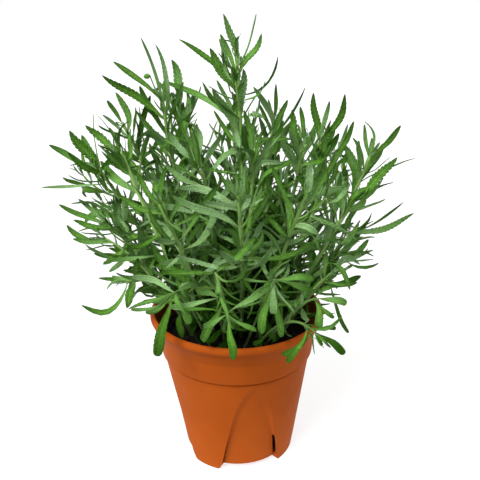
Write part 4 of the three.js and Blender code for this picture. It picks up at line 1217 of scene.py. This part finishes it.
def leaf_material():
    """A leaf: green, with a paler midrib, felt and underside, and its tone by its tint, which carries painted
    light and shade too.
    """
    n = Nodes("leaf")
    along, across = n.attribute("along"), n.attribute("across")
    under, tint = n.attribute("under"), n.attribute("tint")
    off_middle = n.math("ABSOLUTE", across)
    # Tint ramp from dark to pale green: the leaf's own tone together with painted light and shade
    base = n.blend(n.remap(tint, -0.5, 0.0), colour(40, 82, 9), colour(74, 128, 24))
    base = n.blend(n.remap(tint, 0.0, 0.5), base, colour(102, 164, 58))
    base = n.blend(n.remap(tint, 0.5, 1.0), base, colour(170, 212, 154))
    # Pale details show less on darker leaves, darker by their own tone and by painted shade
    outer = n.remap(tint, -0.4, 0.3)
    mottle = n.noise(420.0, 4.0, 0.65)
    base = n.blend(n.times(outer, n.remap(mottle, 0.4, 0.65, 0.0, 0.45)), base, colour(138, 184, 88))
    base = n.blend(n.remap(along, 0.5, 1.0, 0.0, 0.75), base, colour(34, 68, 8))
    margin = n.blend(n.remap(tint, 0.4, 0.9), colour(36, 76, 10), colour(176, 204, 152))
    base = n.blend(n.remap(off_middle, 0.6, 1.0, 0.0, 0.55), base, margin)
    base = n.blend(n.times(outer, n.remap(along, 0.0, 0.34, 0.6, 0.0)), base, colour(146, 182, 96))
    rib = n.times(n.remap(off_middle, 0.0, 0.2, 0.7, 0.0), n.remap(along, 0.2, 0.9, 1.0, 0.2))
    base = n.blend(n.times(outer, rib), base, colour(160, 202, 112))
    base = n.blend(n.times(outer, n.times(under, 0.5)), base, colour(116, 160, 84))
    crinkle = n.noise(800.0, 3.0, 0.6)
    base = n.blend(n.remap(crinkle, 0.36, 0.56, 0.26, 0.0), base, colour(22, 70, 6))
    felt = n.noise(2600.0, 2.0, 0.7)
    base = n.blend(n.times(outer, n.remap(felt, 0.5, 0.75, 0.0, 0.22)), base, colour(164, 206, 130))
    n.set(Base_Color=base, Roughness=n.remap(mottle, 0.3, 0.7, 0.5, 0.66), Specular_IOR_Level=0.05)
    veins = n.math("SINE", n.plus(n.times(along, 95.0), n.times(off_middle, -9.0)))
    height = n.plus(n.times(veins, 0.25), n.plus(felt, n.plus(mottle, crinkle)))
    n.bump(height, 0.75, 0.0008)
    return n.material


def stem_material():
    """A stem: pale green with white felt, browner at its foot."""
    n = Nodes("stem")
    along, corner = n.attribute("along"), n.attribute("across")
    base = n.blend(n.attribute("tint"), colour(66, 108, 34), colour(150, 190, 104))
    base = n.blend(n.remap(along, 0.05, 0.5, 0.95, 0.0), base, colour(30, 58, 10))
    base = n.blend(n.times(corner, 0.25), base, colour(166, 190, 130))
    felt = n.noise(1500.0, 3.0, 0.7)
    base = n.blend(n.remap(felt, 0.5, 0.75, 0.0, 0.2), base, colour(150, 180, 116))
    n.set(Base_Color=base, Roughness=0.7, Specular_IOR_Level=0.1)
    n.bump(felt, 0.5, 0.0003)
    return n.material


def pot_material():
    """Moulded plastic, terracotta orange: satin and faintly uneven."""
    n = Nodes("moulded_plastic")
    cloud = n.noise(26.0, 3.0)
    grain = n.noise(3200.0, 2.0, 0.6)
    base = n.blend(n.remap(cloud, 0.3, 0.7), colour(164, 76, 19), colour(174, 82, 23))
    base = n.blend(n.remap(grain, 0.4, 0.75, 0.0, 0.12), base, colour(144, 63, 16))
    n.set(Base_Color=base, Roughness=n.remap(n.noise(90.0), 0.3, 0.7, 0.5, 0.62), Specular_IOR_Level=0.03)
    n.bump(n.plus(n.times(grain, 0.4), n.noise(160.0)), 0.18, 0.0004)
    return n.material


def soil_material():
    """Moist potting soil: nearly black, with brown fibres and paler grains."""
    n = Nodes("potting_soil")
    clumps = n.noise(300.0, 6.0, 0.7)
    grains = n.noise(1500.0, 2.0)
    base = n.blend(n.remap(clumps, 0.35, 0.7), colour(9, 7, 5), colour(36, 26, 18))
    base = n.blend(n.remap(grains, 0.64, 0.74, 0.0, 0.5), base, colour(84, 66, 48))
    n.set(Base_Color=base, Roughness=0.92, Specular_IOR_Level=0.25)
    n.bump(n.plus(clumps, grains), 0.9, 0.0015)
    return n.material


def floor_material():
    """A white floor that glows as a light table does, but sends less light up from in front of the pot."""
    n = Nodes("floor")
    n.set(Base_Color=(0.3, 0.3, 0.3, 1), Roughness=0.9, Specular_IOR_Level=0.0)
    depth = n.add("ShaderNodeSeparateXYZ", Vector=n.place).outputs["Y"]
    sent = n.remap(depth, *FLOOR_GLOW_EDGES, FLOOR_GLOW_IN_FRONT, FLOOR_GLOW)
    in_picture = n.add("ShaderNodeLightPath").outputs["Is Camera Ray"]
    shown = n.times(in_picture, n.math("SUBTRACT", FLOOR_GLOW, sent))
    n.set(Emission_Color=(1, 1, 1, 1), Emission_Strength=n.plus(sent, shown))
    return n.material


def add_plants():
    """A finer plant for each shoot of the CAD, with its leaves in their places and small ones among them."""
    materials = (leaf_material(), stem_material())
    for stem, (name, line, placed, pairs, size) in enumerate(all_stems()):
        node = "shoot_" + name
        chosen = grown_in(node)
        sheaf = Sheaf()
        sparse = name in SPARSE_STEMS
        thinning = LOW_STEM_THINNING if sparse else 1
        radii = (STEM_FOOT_RADIUS * thinning, STEM_TIP_RADIUS * thinning)
        add_stem(sheaf, line, stem, *radii, STEM_DEPTH_IN_SOIL)
        for number, row in enumerate(placed):
            leaf = chosen(placed_choices(line, row))
            if leaf:
                add_leaf(sheaf, leaf, stem, PLACED_NUMBER + number)
        if name in SOIL_LEAVES:
            leaf = next(placed_choices(line, SOIL_LEAVES[name]))
            # Painted shade: this leaf over the soil is darkened
            leaf.paleness_and_shade = SOIL_LEAF_SHADED_PALENESS
            add_leaf(sheaf, leaf, stem, SOIL_NUMBER)
        for number in range(2 * pairs):
            share = FIRST_PAIR + (LAST_PAIR - FIRST_PAIR) * (number // 2) / max(pairs - 1, 1)
            leaf = chosen(pair_choices(line, stem, number, share, size))
            if leaf:
                add_leaf(sheaf, leaf, stem, number)
        step = SPARSE_JOINT_STEP if sparse else JOINT_STEP
        small = list(joint_leaves(line, stem, JOINT_NUMBER, step, JOINT_LEAF))
        if abs(line.bend.end[0]) < LOW_LEAVES_WITHIN:
            small += low_leaves(line, stem)
        for i, shoot in [] if sparse else side_shoots(line, stem):
            add_stem(sheaf, shoot, stem, SHOOT_FOOT_RADIUS, SHOOT_TIP_RADIUS)
            number = SHOOT_NUMBER + NUMBERS_PER_SHOOT * i
            small += joint_leaves(shoot, stem, number, SIDE_JOINT_STEP, SIDE_LEAF)
        for number, leaf in small:
            if leaf:
                add_leaf(sheaf, leaf, stem, number, SMALL_LEAF_COLUMNS)
        if name == BUD_STEM:
            add_bud(sheaf, line, stem)
        if name == STALK_STEM:
            stalk = StemLine(line.bend.point(0.98), as_seen(*STALK_VIA), as_seen(*STALK_TIP))
            add_stem(sheaf, stalk, stem, *STALK_RADII)
        show(sheaf.build("plant_" + name, materials), node)


def show(piece, node):
    bpy.context.scene.collection.objects.link(piece)
    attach(piece, "root")
    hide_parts(node)


def add_floor():
    mesh = bpy.data.meshes.new("floor")
    corners = [(x * FLOOR_HALF, y * FLOOR_HALF, 0) for x, y in ((-1, -1), (1, -1), (1, 1), (-1, 1))]
    mesh.from_pydata(corners, [], [(0, 1, 2, 3)])
    mesh.materials.append(floor_material())
    floor = bpy.data.objects.new("floor", mesh)
    bpy.context.scene.collection.objects.link(floor)


def add_light(name, azimuth, elevation, strength, softness):
    """A wide soft light from far away. softness is the angle across it, in degrees."""
    light = bpy.data.lights.new(name, "SUN")
    light.energy = strength
    light.angle = math.radians(softness)
    lamp = bpy.data.objects.new(name, light)
    height = math.radians(elevation)
    place = Vector(polar(math.radians(azimuth), math.cos(height), math.sin(height)))
    lamp.location = place
    lamp.rotation_euler = (-place).to_track_quat("-Z", "Y").to_euler()
    bpy.context.scene.collection.objects.link(lamp)


def add_camera():
    """The photograph's view: from the point EYE, looking down at the pot."""
    data = bpy.data.cameras.new("camera")
    data.sensor_width = 36
    data.lens = CAMERA_LENS
    data.clip_start = 0.01
    camera = bpy.data.objects.new("camera", data)
    turn = Matrix.Rotation(math.radians(CAMERA_TURN), 4, "Z")
    tilt = Matrix.Rotation(math.radians(CAMERA_TILT), 4, "X")
    roll = Matrix.Rotation(math.radians(CAMERA_ROLL), 4, "Z")
    camera.matrix_world = Matrix.Translation(Vector(EYE) * MM) @ turn @ tilt @ roll
    bpy.context.scene.collection.objects.link(camera)
    bpy.context.scene.camera = camera


def add_studio():
    """A white room whose back wall and ceiling light the plant most, and a soft key light."""
    world = bpy.data.worlds.new("studio")
    world.use_nodes = True
    nodes, links = world.node_tree.nodes, world.node_tree.links
    direction = nodes.new("ShaderNodeSeparateXYZ")
    links.new(nodes.new("ShaderNodeTexCoord").outputs["Generated"], direction.inputs[0])

    def between(value, start, end, low, high):
        node = nodes.new("ShaderNodeMapRange")
        node.interpolation_type = "SMOOTHSTEP"
        for socket, given in zip(node.inputs, (value, start, end, low, high)):
            if isinstance(given, bpy.types.NodeSocket):
                links.new(given, socket)
            else:
                socket.default_value = given
        return node.outputs["Result"]

    walls = between(direction.outputs["Y"], *WALL_EDGES, WALL_LIGHT, 1.0)
    light = between(direction.outputs["Z"], *CEILING_EDGES, walls, CEILING_LIGHT)
    in_picture = nodes.new("ShaderNodeLightPath").outputs["Is Camera Ray"]
    links.new(between(in_picture, 0, 1, light, 1.0), nodes["Background"].inputs["Strength"])
    nodes["Background"].inputs["Color"].default_value = (1, 1, 1, 1)
    bpy.context.scene.world = world
    bpy.context.scene.view_settings.view_transform = "Standard"
    add_light("key", KEY_AZIMUTH, KEY_ELEVATION, KEY_STRENGTH, KEY_SOFTNESS)


add_camera()
add_studio()
add_floor()
show(make_pot(pot_material()), "pot")
show(make_soil(soil_material()), "soil")
add_plants()
